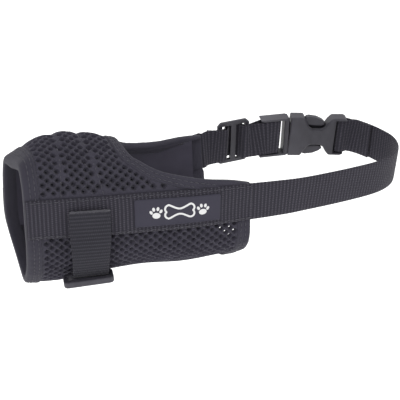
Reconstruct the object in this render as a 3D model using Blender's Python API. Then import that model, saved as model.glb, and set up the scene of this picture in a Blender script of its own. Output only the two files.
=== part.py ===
"""Soft mesh dog muzzle: a snout sleeve of spacer mesh, webbing bands, a cinch tab with a ring,
and a neck strap closed by a side-release buckle with a tri-glide slider.

The nose goes in towards -X, the neck strap is towards +X, the near side is -Y and +Z is up.
The origin lies on the middle plane at the front rim, level with the centre of the side bands.
Lengths below are in millimetres and are turned into metres when a mesh is made.
"""

import functools
import math

import bmesh
import bpy
import numpy as np
from mathutils import Matrix, Vector

MM = 0.001
GAP = 0.35                     # free play kept between touching pieces

# Webbing and fabric
WEBBING_WIDTH = 20.0
WEBBING_THICKNESS = 1.1
BAND_THICKNESS = 1.2
MESH_THICKNESS = 2.6
LINING_THICKNESS = 0.7

# Sleeve
SLEEVE_LENGTH = 112.0
BRIDGE_LENGTH = 54.0           # front rim to the rear edge of the nose bridge, along the top
RIM_WIDTH = 7.0                # binding along the front and rear rims
EDGE_WIDTH = 5.5               # binding along the curved top edge of the wings
CHIN_SEAM = -23.5              # girth position of the seam between side and chin panels
LINING_LOW = -12.0
SKEW = 2.5                     # how far the far side lies ahead of the near side
CHIN_SETBACK = 1.6             # how far the chin line lies behind the rest of the front rim
CHIN_DEPTH = 38.0

# Half cross-sections (half width, height) from the crest down to the chin, at each station, and
# the twist there: how much the height changes per width towards the far side
STATIONS = (0.0, 7.0, 18.0, 34.0, 54.0, 82.0, 112.0)
SECTIONS = (
    ((0, 26.6), (9, 27.2), (16.2, 26.4), (20.4, 18), (21.8, 8), (22.0, -4), (19.8, -16), (11.8, -30.5), (0, -37.9)),
    ((0, 33.6), (9, 32.4), (16.8, 28.8), (21.2, 20), (22.9, 9), (23.2, -4), (21.4, -18), (13.0, -32), (0, -39.0)),
    ((0, 38.2), (9.5, 35.2), (17.5, 29.2), (22.2, 21), (24.9, 9), (25.3, -4), (23.6, -19), (14, -33), (0, -39.6)),
    ((0, 37.3), (10, 33.4), (18, 27.6), (23.2, 20), (27.5, 9), (28.1, -4), (26.3, -20), (16, -32.6), (0, -37.9)),
    ((0, 30.4), (9, 28.6), (18, 24.8), (25.0, 19), (29.8, 9), (30.8, -4), (29.0, -20.5), (18, -32), (0, -37.2)),
    ((0, 27.0), (12, 26.0), (24, 21.5), (31.0, 17), (33.9, 9), (33.9, -4), (32.6, -21.5), (20.5, -32.6), (0, -40.2)),
    ((0, 24.0), (13, 24.0), (26, 21.5), (33.0, 17), (34.9, 9), (33.5, -4), (32.6, -22), (21.5, -32.5), (0, -42.4)),
)
TWISTS = (-0.21, -0.196, -0.172, -0.132, -0.075, -0.045, 0.045)
SECTION_SAMPLES = 14           # points between two neighbouring outline points

# Top edge of a wing (distance from the front rim, height), from the shoulder to the band's end
WING_EDGE = ((59.5, 23.2), (65.5, 19.9), (76.0, 17.0), (88.0, 14.5), (100.0, 12.6), (107.0, 10.9), (111.5, 9.6))

# Label on the near band
LABEL_START = 51.7
LABEL_LENGTH = 43.0
LABEL_HEIGHT = 14.0
LABEL_THICKNESS = 0.8

# Cinch strap: round the far side and the chin, through a ring, and up the near side
CINCH_CENTRE = 30.3
CINCH_WIDTH = 20.0
CINCH_TOP = 4.5                # height of the free end
RING_BAR = 3.2                 # height and thickness of the ring's long bars
RING_SIDE = 1.9
RING_WIDTH = 25.0
RING_GATHER = 0.11             # share of its width that the webbing loses in the ring
RING_INNER = (-8.3, -34.9)     # middles of the long bars, out from the sleeve's side and up
RING_OUTER = (-0.7, -35.1)
RING_SHIFT = -1.2               # the ring's middle, along the sleeve from the strap's
RING_BEVEL = 0.9
RING_TILT = math.radians(4.0)  # the ring's rear end is higher
HINGE_HEIGHT = -33.1
TURN_START = 14.0              # degrees round the ring's inner bar, where the flap's hinge begins

# Neck loop
LOOP_LEAN = math.radians(11.0)  # the webbing's upper edge leans towards the near side
LEAN_GROWTH_NEAR = 30.0        # length over which the lean grows, behind the sleeve
LEAN_GROWTH_FAR = 7.0
BUCKLE_START = Vector((161.8, 35.2, 6.6))
BUCKLE_DIRECTION = Vector((46.5, -10.9, -2.4))
MALE_START = Vector((161.3, 35.2, 6.6))
MALE_DIRECTION = Vector((1.0, -0.10, 0.02))
BUCKLE_HALF_HEIGHT = 12.1
BUCKLE_HALF_DEPTH = 3.6
BUCKLE_CAVITY_DEPTH = 2.1
BUCKLE_CAVITY_HALF = 10.6
FEMALE_LENGTH = 32.0
WINDOW_START = 8.2             # side windows of the female half, along its length
WINDOW_END = 20.3
STRAP_SPACE_START = 25.5
MALE_LENGTH = 16.5
WRAP_BAR_X = -7.5
END_BAR_X = 29.2
BAR_RADIUS = 1.5
WRAP_RADIUS = BAR_RADIUS + GAP + WEBBING_THICKNESS / 2
PRONG_ROOT = (0.6, 8.8)
FOLD_LENGTH = 15.0

SLIDER_CENTRE = Vector((130.2, 40.2, 4.4))
SLIDER_DIRECTION = Vector((1.0, 0.045, 0.06))
SLIDER_LENGTH = 19.0
SLIDER_HEIGHT = 26.2
SLIDER_DEPTH = 1.8
SLIDER_END_BAR = 2.6
SLIDER_CENTRE_BAR = 3.0
SLIDER_RAIL = 2.2
TAIL_SPREAD = 0.8              # between the tail's free end and the strap

MATERIALS = {
    "mesh_fabric": ((0.075, 0.07, 0.088), 0.95),
    "binding_tape": ((0.07, 0.068, 0.085), 0.85),
    "lining_fabric": ((0.035, 0.033, 0.042), 0.95),
    "webbing": ((0.045, 0.043, 0.05), 0.8),
    "hook_and_loop": ((0.04, 0.04, 0.046), 0.9),
    "buckle_plastic": ((0.032, 0.032, 0.037), 0.45),
    "label_rubber": ((0.05, 0.05, 0.07), 0.6),
}


# ---------------------------------------------------------------- scene helpers

def clear_scene():
    for item in list(bpy.data.objects):
        bpy.data.objects.remove(item, do_unlink=True)


@functools.lru_cache(maxsize=None)
def material(name):
    colour, roughness = MATERIALS[name]
    made = bpy.data.materials.new(name)
    made.use_nodes = True
    shader = made.node_tree.nodes["Principled BSDF"]
    shader.inputs["Base Color"].default_value = (*colour, 1.0)
    shader.inputs["Roughness"].default_value = roughness
    shader.inputs["Metallic"].default_value = 0.0
    made.diffuse_color = (*colour, 1.0)
    return made


def add_object(name, vertices, faces, finish, frame=None):
    """A mesh object from millimetre points, given in the frame's own axes when there is a frame."""
    mesh = bpy.data.meshes.new(name)
    mesh.from_pydata([Vector(v) * MM for v in vertices], [], [tuple(f) for f in faces])
    mesh.update()
    shape = bmesh.new()
    shape.from_mesh(mesh)
    bmesh.ops.recalc_face_normals(shape, faces=shape.faces)
    shape.to_mesh(mesh)
    shape.free()
    mesh.materials.append(material(finish))
    thing = bpy.data.objects.new(name, mesh)
    bpy.context.collection.objects.link(thing)
    if frame is not None:
        thing.matrix_world = frame
    return thing


def soften(thing, width, segments=2):
    bevel = thing.modifiers.new("edges", "BEVEL")
    bevel.width = width * MM
    bevel.segments = segments
    bevel.limit_method = "ANGLE"
    bevel.angle_limit = math.radians(35)
    thing.data.shade_smooth()
    thing.data.set_sharp_from_angle(angle=math.radians(40))


def cut(thing, cutter):
    cutter.hide_render = True
    cutter.display_type = "WIRE"
    boolean = thing.modifiers.new("cut_" + cutter.name, "BOOLEAN")
    boolean.operation = "DIFFERENCE"
    boolean.object = cutter


def join(thing, other):
    other.hide_render = True
    other.display_type = "WIRE"
    boolean = thing.modifiers.new("join_" + other.name, "BOOLEAN")
    boolean.operation = "UNION"
    boolean.object = other


# ---------------------------------------------------------------- curves

def smooth_curve(points, per_span):
    """Points on a smooth curve through all the given points."""
    points = np.asarray(points, float)
    padded = np.vstack([2 * points[0] - points[1], points, 2 * points[-1] - points[-2]])
    curve = []
    for i in range(1, len(padded) - 2):
        before, start, end, after = padded[i - 1:i + 3]
        for t in np.arange(per_span) / per_span:
            curve.append(0.5 * (2 * start + (end - before) * t
                                + (2 * before - 5 * start + 4 * end - after) * t ** 2
                                + (3 * start - before - 3 * end + after) * t ** 3))
    curve.append(points[-1])
    return np.array(curve)


def smooth_value(x, stations, values):
    """A value at x on a smooth line through the values at the stations."""
    stations = np.asarray(stations, float)
    values = np.asarray(values, float)
    slopes = np.gradient(values, stations, axis=0)
    i = int(np.clip(np.searchsorted(stations, x) - 1, 0, len(stations) - 2))
    span = stations[i + 1] - stations[i]
    t = (x - stations[i]) / span
    return ((2 * t ** 3 - 3 * t ** 2 + 1) * values[i] + (t ** 3 - 2 * t ** 2 + t) * span * slopes[i]
            + (3 * t ** 2 - 2 * t ** 3) * values[i + 1] + (t ** 3 - t ** 2) * span * slopes[i + 1])


def smooth_step(t):
    t = min(max(t, 0.0), 1.0)
    return t * t * (3 - 2 * t)


# ---------------------------------------------------------------- the sleeve's surface

@functools.lru_cache(maxsize=None)
def section(x):
    """Half outline at x: half widths, heights and girth positions (0 at height 0, up is positive)."""
    outline = smooth_value(x, STATIONS, SECTIONS)
    mirrored_start = outline[1] * (-1, 1)
    mirrored_end = outline[-2] * (-1, 1)
    padded = np.vstack([mirrored_start, outline, mirrored_end])
    dense = smooth_curve(padded, SECTION_SAMPLES)[SECTION_SAMPLES:-SECTION_SAMPLES]
    lengths = np.r_[0, np.cumsum(np.linalg.norm(np.diff(dense, axis=0), axis=1))]
    level = np.interp(0.0, -dense[:, 1], lengths)
    return dense[:, 0], dense[:, 1], level - lengths


def crest_girth(x):
    return float(section(x)[2][0])


def chin_girth(x):
    return float(section(x)[2][-1])


def girth_at_height(x, height):
    _, heights, girths = section(x)
    return float(np.interp(-height, -heights, girths))


def sleeve_point(x, girth, side, out):
    """A point on the sleeve, out millimetres outside the mesh panels' outer face."""
    widths, heights, girths = section(x)
    order = -girths
    y = np.interp(-girth, order, widths)
    z = np.interp(-girth, order, heights)
    step = 0.6
    low, high = np.clip([-girth - step, -girth + step], order[0], order[-1])
    along_y = np.interp(high, order, widths) - np.interp(low, order, widths)
    along_z = np.interp(high, order, heights) - np.interp(low, order, heights)
    length = math.hypot(along_y, along_z)
    y -= along_z / length * out
    z += along_y / length * out
    half_width = float(np.interp(0.0, order, widths))
    across = y * side + half_width
    turn = float(smooth_value(x, STATIONS, TWISTS))
    low = smooth_step(-z / CHIN_DEPTH)
    shift = CHIN_SETBACK * low * (1 - x / SLEEVE_LENGTH) - SKEW * across / (2 * half_width) * (1 - low)
    return Vector((x + shift, y * side, z + turn * across))


def slab(name, grid, inner, outer, finish, closed=False):
    """A closed sheet between two offsets. grid rows hold (x, girth, side); closed joins the ends."""
    rows, columns = len(grid), len(grid[0])
    vertices = [sleeve_point(*place, outer) for row in grid for place in row]
    vertices += [sleeve_point(*place, inner) for row in grid for place in row]
    layer = rows * columns
    last_row = rows if closed else rows - 1
    faces = []
    for i in range(last_row):
        here, after = i * columns, (i + 1) % rows * columns
        for j in range(columns - 1):
            quad = (here + j, here + j + 1, after + j + 1, after + j)
            faces.append(quad)
            faces.append(tuple(layer + k for k in reversed(quad)))
        for j, flip in ((0, False), (columns - 1, True)):
            side = (here + j, after + j, layer + after + j, layer + here + j)
            faces.append(tuple(reversed(side)) if flip else side)
    if not closed:
        for i, flip in ((0, True), (rows - 1, False)):
            for j in range(columns - 1):
                a = i * columns + j
                side = (a, a + 1, layer + a + 1, layer + a)
                faces.append(tuple(reversed(side)) if flip else side)
    return add_object(name, vertices, faces, finish)


def wing_edge_curve(per_span=4):
    """The top edge as (x, girth): from the crest over the shoulder and down to the band's end."""
    on_wing = [(x, girth_at_height(x, height)) for x, height in WING_EDGE]
    crest = (BRIDGE_LENGTH, crest_girth(BRIDGE_LENGTH))
    over = (BRIDGE_LENGTH + 1.3, girth_at_height(BRIDGE_LENGTH, 26.6))
    return smooth_curve([crest, over] + on_wing, per_span)


def inset_curve(curve, distance):
    """The curve moved into the panel by a distance, in the surface's own (x, girth) plane."""
    slopes = np.gradient(curve, axis=0)
    slopes[0] = (0, -1)
    slopes /= np.linalg.norm(slopes, axis=1)[:, None]
    inward = np.stack([slopes[:, 1], -slopes[:, 0]], axis=1)
    return curve + inward * distance


def mirrored_rows(rows):
    """Rows given from the crest downwards on the near side, continued over to the far side."""
    near = [[(x, girth, -1) for x, girth in row] for row in reversed(rows)]
    far = [[(x, girth, 1) for x, girth in row] for row in rows[1:]]
    return near + far


# ---------------------------------------------------------------- sleeve pieces

def make_bridge_mesh():
    """Quilted nose bridge: from one band over the crest to the other, cut along the top edge."""
    edge = inset_curve(wing_edge_curve(), EDGE_WIDTH + 2 * GAP)
    front = RIM_WIDTH + GAP
    low = WEBBING_WIDTH / 2 + GAP
    rows = []
    for level in np.linspace(1, 0, 13):
        girth_end = low + (edge[0][1] - low) * level
        x_end = float(np.interp(-girth_end, -edge[:, 1], edge[:, 0]))
        row = []
        for t in np.linspace(0, 1, 15):
            x = front + (x_end - front) * t
            top = crest_girth(x) if x < BRIDGE_LENGTH else crest_girth(BRIDGE_LENGTH)
            full = low + (top - low) * level
            row.append((x, full * (1 - t) + girth_end * t if x < BRIDGE_LENGTH else min(full, girth_end)))
        rows.append(row)
    return slab("bridge_mesh", mirrored_rows(rows), -MESH_THICKNESS, 0.0, "mesh_fabric")


def make_side_mesh(name, side):
    front, rear = RIM_WIDTH + GAP, SLEEVE_LENGTH - RIM_WIDTH - GAP
    grid = [[(x, girth, side) for x in np.linspace(front, rear, 16)]
            for girth in np.linspace(CHIN_SEAM + GAP, WEBBING_WIDTH / 2 - GAP, 7)]
    return slab(name, grid, -MESH_THICKNESS, 0.0, "mesh_fabric")


def make_chin_mesh():
    front, rear = RIM_WIDTH + GAP, SLEEVE_LENGTH - RIM_WIDTH - GAP
    rows = []
    for level in np.linspace(0, 1, 8):
        rows.append([(x, CHIN_SEAM + (chin_girth(x) - CHIN_SEAM) * level) for x in np.linspace(front, rear, 12)])
    near = [[(x, girth, -1) for x, girth in row] for row in rows]
    far = [[(x, girth, 1) for x, girth in row] for row in reversed(rows[:-1])]
    return slab("chin_mesh", near + far, -MESH_THICKNESS, 0.0, "mesh_fabric")


def make_lining(name, side):
    front, rear = RIM_WIDTH + GAP, SLEEVE_LENGTH - RIM_WIDTH - GAP
    outer = -MESH_THICKNESS - GAP
    grid = [[(x, girth, side) for x in np.linspace(front, rear, 14)]
            for girth in np.linspace(LINING_LOW, WEBBING_WIDTH / 2 - GAP, 4)]
    return slab(name, grid, outer - LINING_THICKNESS, outer, "lining_fabric")


def make_front_binding():
    columns = (0.0, RIM_WIDTH / 2, RIM_WIDTH)
    levels = np.linspace(0, 1, 19)
    near = [[(x, crest_girth(x) + (chin_girth(x) - crest_girth(x)) * t, -1) for x in columns] for t in levels]
    far = [[(x, girth, 1) for x, girth, _ in row] for row in reversed(near[1:-1])]
    return slab("binding_front", near + far, -MESH_THICKNESS - 0.5, 0.0, "binding_tape", closed=True)


def make_edge_binding():
    """Tape along the top edge, from the end of the near wing over the crest to the far wing's end."""
    outer_curve = wing_edge_curve()
    inner_curve = inset_curve(outer_curve, EDGE_WIDTH)
    low = WEBBING_WIDTH / 2 + GAP
    rows = []
    for rim, panel in zip(outer_curve, inner_curve):
        middle = (rim + panel) / 2
        row = [(float(x), max(float(girth), low)) for x, girth in (rim, middle, panel)]
        if rim[1] < low + 1.0:
            continue
        rows.append(row)
    return slab("binding_top_edge", mirrored_rows(rows), -MESH_THICKNESS - 0.5, 0.5, "binding_tape")


def make_rear_binding():
    start = SLEEVE_LENGTH - RIM_WIDTH
    columns = (start, start + RIM_WIDTH / 2, SLEEVE_LENGTH)
    top = WEBBING_WIDTH / 2 - GAP
    near = [[(x, top + (chin_girth(x) - top) * t, -1) for x in columns] for t in np.linspace(0, 1, 13)]
    far = [[(x, girth, 1) for x, girth, _ in row] for row in reversed(near[:-1])]
    return slab("binding_rear", near + far, -MESH_THICKNESS - 0.5, 0.0, "binding_tape")


def make_side_band(name, side):
    half = WEBBING_WIDTH / 2
    grid = [[(x, girth, side) for girth in (-half, 0.0, half)] for x in np.linspace(0.4, SLEEVE_LENGTH, 23)]
    return slab(name, grid, GAP, GAP + BAND_THICKNESS, "webbing")


def make_label():
    base = 2 * GAP + BAND_THICKNESS
    half = LABEL_HEIGHT / 2
    xs = np.linspace(LABEL_START, LABEL_START + LABEL_LENGTH, 10)
    grid = [[(x, girth, -1) for girth in (-half, 0.0, half)] for x in xs]
    return slab("label_patch", grid, base, base + LABEL_THICKNESS, "label_rubber")


# ---------------------------------------------------------------- webbing and wire shapes

def ribbon(name, centres, up, width, thickness, finish, origin=None):
    """Flat webbing along a path. up is the direction of its width at each point, or one for all."""
    centres = np.asarray(centres, float)
    widths = np.broadcast_to(np.asarray(width, float), len(centres))
    up = np.broadcast_to(np.asarray(up, float), centres.shape)
    along = np.gradient(centres, axis=0)
    along /= np.linalg.norm(along, axis=1)[:, None]
    across = up - (up * along).sum(1)[:, None] * along
    across /= np.linalg.norm(across, axis=1)[:, None]
    normal = np.cross(along, across)
    corners = ((1, 1), (1, -1), (-1, -1), (-1, 1))
    vertices = [c + a * i * w / 2 + n * j * thickness / 2
                for c, a, n, w in zip(centres, across, normal, widths) for i, j in corners]
    faces = [(3, 2, 1, 0), tuple(len(vertices) - 4 + k for k in range(4))]
    for i in range(len(centres) - 1):
        for k in range(4):
            a, b = 4 * i + k, 4 * i + (k + 1) % 4
            faces.append((a, b, b + 4, a + 4))
    thing = add_object(name, vertices, faces, finish)
    if origin is not None:
        set_origin(thing, origin)
    return thing


def set_origin(thing, origin):
    shift = Vector(origin) * MM
    thing.data.transform(Matrix.Translation(-shift))
    thing.matrix_world = Matrix.Translation(shift)


def prism(name, outline, low, high, frame, finish):
    """An outline (x, z) in a frame's own axes, from depth low to depth high along its y axis."""
    count = len(outline)
    vertices = [(x, low, z) for x, z in outline] + [(x, high, z) for x, z in outline]
    faces = [tuple(range(count)), tuple(reversed(range(count, 2 * count)))]
    for i in range(count):
        j = (i + 1) % count
        faces.append((i, i + count, j + count, j))
    return add_object(name, vertices, faces, finish, frame)


def block(name, x, y, z, frame, finish="buckle_plastic"):
    outline = [(x[0], z[0]), (x[1], z[0]), (x[1], z[1]), (x[0], z[1])]
    return prism(name, outline, y[0], y[1], frame, finish)


def bar(name, x, radius, half_length, frame, sides=12):
    """A round bar along the frame's z axis."""
    angles = np.arange(sides) / sides * 2 * math.pi
    ring = [(x + radius * math.cos(a), radius * math.sin(a)) for a in angles]
    vertices = [(a, b, -half_length) for a, b in ring] + [(a, b, half_length) for a, b in ring]
    faces = [tuple(range(sides)), tuple(reversed(range(sides, 2 * sides)))]
    for i in range(sides):
        j = (i + 1) % sides
        faces.append((i, i + sides, j + sides, j))
    return add_object(name, vertices, faces, "buckle_plastic", frame)


# ---------------------------------------------------------------- frames

def loop_frame(start, direction):
    """Axes of a piece on the neck loop: x along the webbing, y out of the loop, z up its width."""
    along = direction.normalized()
    lean = Vector((0, -math.sin(LOOP_LEAN), math.cos(LOOP_LEAN)))
    outwards = lean.cross(along).normalized()
    upwards = along.cross(outwards)
    turned = Matrix((along, outwards, upwards)).transposed().to_4x4()
    return Matrix.Translation(start * MM) @ turned


BUCKLE = loop_frame(BUCKLE_START, BUCKLE_DIRECTION)
MALE = loop_frame(MALE_START, MALE_DIRECTION)
SLIDER = loop_frame(SLIDER_CENTRE, SLIDER_DIRECTION)


def in_frame(frame, x, y, z=0.0):
    """World millimetres of a point given in a frame's own millimetres."""
    return np.array((frame @ (Vector((x, y, z)) * MM)) / MM)


def frame_up(frame):
    return np.array(frame.to_3x3() @ Vector((0, 0, 1)))


def cinch_frame():
    """Axes of the cinch strap on the near side: x along the band, y out of the sleeve, z up."""
    step = 10.0
    start = sleeve_point(CINCH_CENTRE - step, 0.0, -1, 0.0)
    end = sleeve_point(CINCH_CENTRE + step, 0.0, -1, 0.0)
    along = end - start
    along.z = 0
    along.normalize()
    up = Vector((0, 0, 1))
    outwards = along.cross(up)
    centre = sleeve_point(CINCH_CENTRE, 0.0, -1, 0.0)
    centre.z = 0
    turned = Matrix((along, outwards, up)).transposed().to_4x4()
    return Matrix.Translation(centre * MM) @ turned


CINCH = cinch_frame()


# ---------------------------------------------------------------- cinch strap and ring

def arc(centre, radius, start, end, count):
    """Points on an arc in a plane, angles in degrees."""
    angles = np.radians(np.linspace(start, end, count))
    return [(centre[0] + radius * math.cos(a), centre[1] + radius * math.sin(a)) for a in angles]


def cinch_points(places):
    return [in_frame(CINCH, 0, out, z) for out, z in places]


CINCH_ALONG = np.array(CINCH.to_3x3() @ Vector((1, 0, 0)))
LOOP_RADIUS = RING_BAR / 2 + 0.25 + GAP + WEBBING_THICKNESS / 2
TURN_RADIUS = LOOP_RADIUS + WEBBING_THICKNESS + 1.5 * GAP
BAND_TOP = GAP + BAND_THICKNESS


def cinch_across(height):
    """Width direction of the cinch webbing: level at the band and tilted with the ring below."""
    tilt = RING_TILT * smooth_step((-10.0 - height) / 14.0)
    return math.cos(tilt) * CINCH_ALONG + math.sin(tilt) * np.array((0, 0, 1.0))


def gather(height):
    """Share of its width that the cinch webbing keeps where it is drawn together at the ring."""
    return 1 - RING_GATHER * smooth_step((-8.0 - height) / 18.0)


def cinch_webbing(name, places, width, finish, origin=None):
    across = np.array([cinch_across(height) for _, height in places])
    widths = [width * gather(height) for _, height in places]
    return ribbon(name, cinch_points(places), across, widths, WEBBING_THICKNESS, finish, origin)


def make_ring_loop():
    """Webbing sewn to the near band that carries the ring: down and round its inner bar."""
    top = BAND_TOP + GAP + WEBBING_THICKNESS / 2
    down = smooth_curve([(top, 0.0), (top, -6.0), (top - 0.1, -12.0), (0.1, -20.0), (-3.3, -27.5), (-5.3, -32.0)], 3)
    turn = arc(RING_INNER, LOOP_RADIUS, 0, -150, 9)
    cinch_webbing("ring_loop", list(down) + turn, CINCH_WIDTH - 1.0, "webbing")


def make_cinch_flap():
    """The free end, pressed on the near side. It peels off about a line just above the ring."""
    over = BAND_TOP + 2 * GAP + 1.5 * WEBBING_THICKNESS + 0.15
    start = RING_INNER[0] + TURN_RADIUS
    places = smooth_curve([(start, HINGE_HEIGHT), (-0.6, -27.5), (2.3, -20.5), (over - 0.2, -13.0), (over, -6.0),
                           (over, CINCH_TOP)], 3)
    hinge = in_frame(CINCH, 0, start + WEBBING_THICKNESS, HINGE_HEIGHT)
    cinch_webbing("cinch_flap", places, CINCH_WIDTH, "hook_and_loop", hinge)


def ring_frame():
    """Axes of the ring: x along its long bars, z from the outer one to the inner one."""
    inner = Vector(in_frame(CINCH, RING_SHIFT, *RING_INNER))
    outer = Vector(in_frame(CINCH, RING_SHIFT, *RING_OUTER))
    along = Vector(cinch_across(RING_INNER[1]))
    inwards = (inner - outer) - (inner - outer).dot(along) * along
    inwards.normalize()
    turned = Matrix((along, inwards.cross(along), inwards)).transposed().to_4x4()
    return Matrix.Translation((inner + outer) / 2 * MM) @ turned


def make_ring():
    """A rounded rectangle under the sleeve: the strap turns round its inner bar, its outer bar is bare."""
    frame = ring_frame()
    span = math.dist(RING_INNER, RING_OUTER)
    x, z = RING_WIDTH / 2, (span + RING_BAR) / 2
    corner = 2.2
    outline = []
    for side_x, side_z, start in ((1, -1, 270), (1, 1, 0), (-1, 1, 90), (-1, -1, 180)):
        outline += arc((side_x * (x - corner), side_z * (z - corner)), corner, start, start + 90, 4)
    ring = prism("cinch_ring", outline, -RING_BAR / 2, RING_BAR / 2, frame, "buckle_plastic")
    hole_x, hole_z = x - RING_SIDE, (span - RING_BAR) / 2
    cut(ring, block("cut_ring", (-hole_x, hole_x), (-3, 3), (-hole_z, hole_z), frame))
    soften(ring, RING_BEVEL)


def chin_places(fractions, side, limit, out):
    """Middle and width direction of a strap laid on the sleeve, between the chin line and a limit."""
    half = CINCH_WIDTH / 2
    places = []
    for fraction in fractions:
        edges = []
        for x in (CINCH_CENTRE - half, CINCH_CENTRE + half):
            low = chin_girth(x)
            edges.append(np.array(sleeve_point(x, low + (limit - low) * fraction, side, out)))
        places.append(((edges[0] + edges[1]) / 2, edges[1] - edges[0]))
    return places


def make_cinch_strap():
    """From the far band down and under the chin, through the ring and up to the flap."""
    out = GAP + WEBBING_THICKNESS / 2 + 0.3
    turn = arc(RING_INNER, TURN_RADIUS, TURN_START, -80, 7)
    places = [(point, cinch_across(RING_INNER[1])) for point in cinch_points(turn)]
    places += chin_places(np.linspace(0.15, 0.04, 4), -1, -WEBBING_WIDTH / 2, out)
    places += chin_places(np.linspace(0.0, 1.0, 15), 1, -WEBBING_WIDTH / 2 - 1.2, out)
    path = np.array([place for place, _ in places])
    up = np.array([across / np.linalg.norm(across) for _, across in places])
    spread = np.clip((np.arange(len(path)) - len(turn)) / 6.0, 0, 1)
    widths = (CINCH_WIDTH - 0.4) * (1 - RING_GATHER * (1 - spread))
    ribbon("cinch_strap", path, up, widths, WEBBING_THICKNESS, "webbing")


# ---------------------------------------------------------------- buckle

def mirrored_outline(upper):
    """An outline from its upper half, listed from left to right."""
    return [(x, -z) for x, z in upper] + [(x, z) for x, z in reversed(upper)]


def make_female_buckle():
    half = BUCKLE_HALF_HEIGHT
    upper = [(0, half), (7.3, half), (9.0, 9.2), (10.7, 6.2), (12.6, 5.0), (17.8, 5.0), (19.8, 6.5),
             (21.4, 9.2), (23.4, 11.6), (30.0, 11.7), (31.5, 11.1), (FEMALE_LENGTH, 9.9)]
    body = prism("buckle_female", mirrored_outline(upper), -BUCKLE_HALF_DEPTH, BUCKLE_HALF_DEPTH,
                 BUCKLE, "buckle_plastic")
    soften(body, 0.8)
    slot_half = WEBBING_WIDTH / 2 + 0.4
    depth = BUCKLE_HALF_DEPTH + 1.0
    wide = half + 1.0
    mouth = [(-1.0, BUCKLE_CAVITY_HALF), (WINDOW_START, BUCKLE_CAVITY_HALF), (WINDOW_START, wide), (WINDOW_END, wide)]
    cut(body, prism("cut_cavity", mirrored_outline(mouth), -BUCKLE_CAVITY_DEPTH, BUCKLE_CAVITY_DEPTH,
                    BUCKLE, "buckle_plastic"))
    cut(body, block("cut_strap_space", (STRAP_SPACE_START, FEMALE_LENGTH + 1.0), (-depth, depth),
                    (-slot_half, slot_half), BUCKLE))
    join(body, bar("join_end_bar", END_BAR_X, BAR_RADIUS, half - 1.5, BUCKLE))
    return body


def make_male_buckle():
    half = BUCKLE_HALF_HEIGHT - 0.3
    inner = WEBBING_WIDTH / 2 + 0.6
    body = block("buckle_male", (-3.0, -GAP), (-3.0, 3.0), (-half, half), MALE)
    soften(body, 0.5)
    for name, low, high in (("rail_upper", inner, half), ("rail_lower", -half, -inner)):
        outline = [(-MALE_LENGTH, low + 0.6 * (low > 0)), (-MALE_LENGTH + 2, low), (-1.5, low),
                   (-1.5, high), (-MALE_LENGTH + 2, high), (-MALE_LENGTH, high - 0.6 * (low < 0))]
        join(body, prism("join_" + name, outline, -3.1, 3.1, MALE, "buckle_plastic"))
    join(body, bar("join_wrap_bar", WRAP_BAR_X, BAR_RADIUS, half - 0.8, MALE))
    guide = prism("join_guide", [(-1.5, -1.6), (13.0, -1.2), (14.0, 0), (13.0, 1.2), (-1.5, 1.6)],
                  -1.5, 1.5, BUCKLE, "buckle_plastic")
    join(body, guide)
    return body


def make_prong(name, side):
    """A sprung arm whose shoulder catches behind the female half's collar."""
    x, z = PRONG_ROOT
    outline = [(x - 0.6, z - 1.2), (x - 0.6, z + 1.2), (7.9, 10.0), (8.8, 11.6), (10.4, 11.9), (14.6, 11.3),
               (17.8, 9.8), (19.5, 8.3), (19.3, 7.0), (17.2, 6.3), (10.2, 6.8), (7.6, 7.6)]
    placed = [(a - x, (b - z) * side) for a, b in outline]
    frame = BUCKLE @ Matrix.Translation(Vector((x, 0, z * side)) * MM)
    arm = prism(name, placed, -1.7, 1.7, frame, "buckle_plastic")
    soften(arm, 0.4)
    return arm


def make_slider():
    half_x, half_z = SLIDER_LENGTH / 2, SLIDER_HEIGHT / 2
    chamfer = 2.0
    outline = [(-half_x, -half_z + chamfer), (-half_x + chamfer, -half_z), (half_x - chamfer, -half_z),
               (half_x, -half_z + chamfer), (half_x, half_z - chamfer), (half_x - chamfer, half_z),
               (-half_x + chamfer, half_z), (-half_x, half_z - chamfer)]
    plate = prism("slider", outline, -SLIDER_DEPTH / 2, SLIDER_DEPTH / 2, SLIDER, "buckle_plastic")
    soften(plate, 0.4)
    for name, side in (("cut_slot_left", -1), ("cut_slot_right", 1)):
        near, far = SLIDER_CENTRE_BAR / 2, half_x - SLIDER_END_BAR
        ends = sorted((side * near, side * far))
        cut(plate, block(name, ends, (-3, 3), (-half_z + SLIDER_RAIL, half_z - SLIDER_RAIL), SLIDER))
    return plate


# ---------------------------------------------------------------- neck strap

def layer_step(spread):
    """Distance between the middles of two layers of webbing."""
    return WEBBING_THICKNESS + spread


def weave(x, inner, lift, start, end):
    """Offset of a strand woven through the slider: out past the middle bar, in past the end bars."""
    return inner + lift * (1 - smooth_step((abs(x) - start) / (end - start)))


def strand_offsets():
    bars = SLIDER_DEPTH / 2 + GAP + WEBBING_THICKNESS / 2
    layer = WEBBING_THICKNESS + GAP
    return -bars - layer, -bars, 2 * bars + layer


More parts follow.
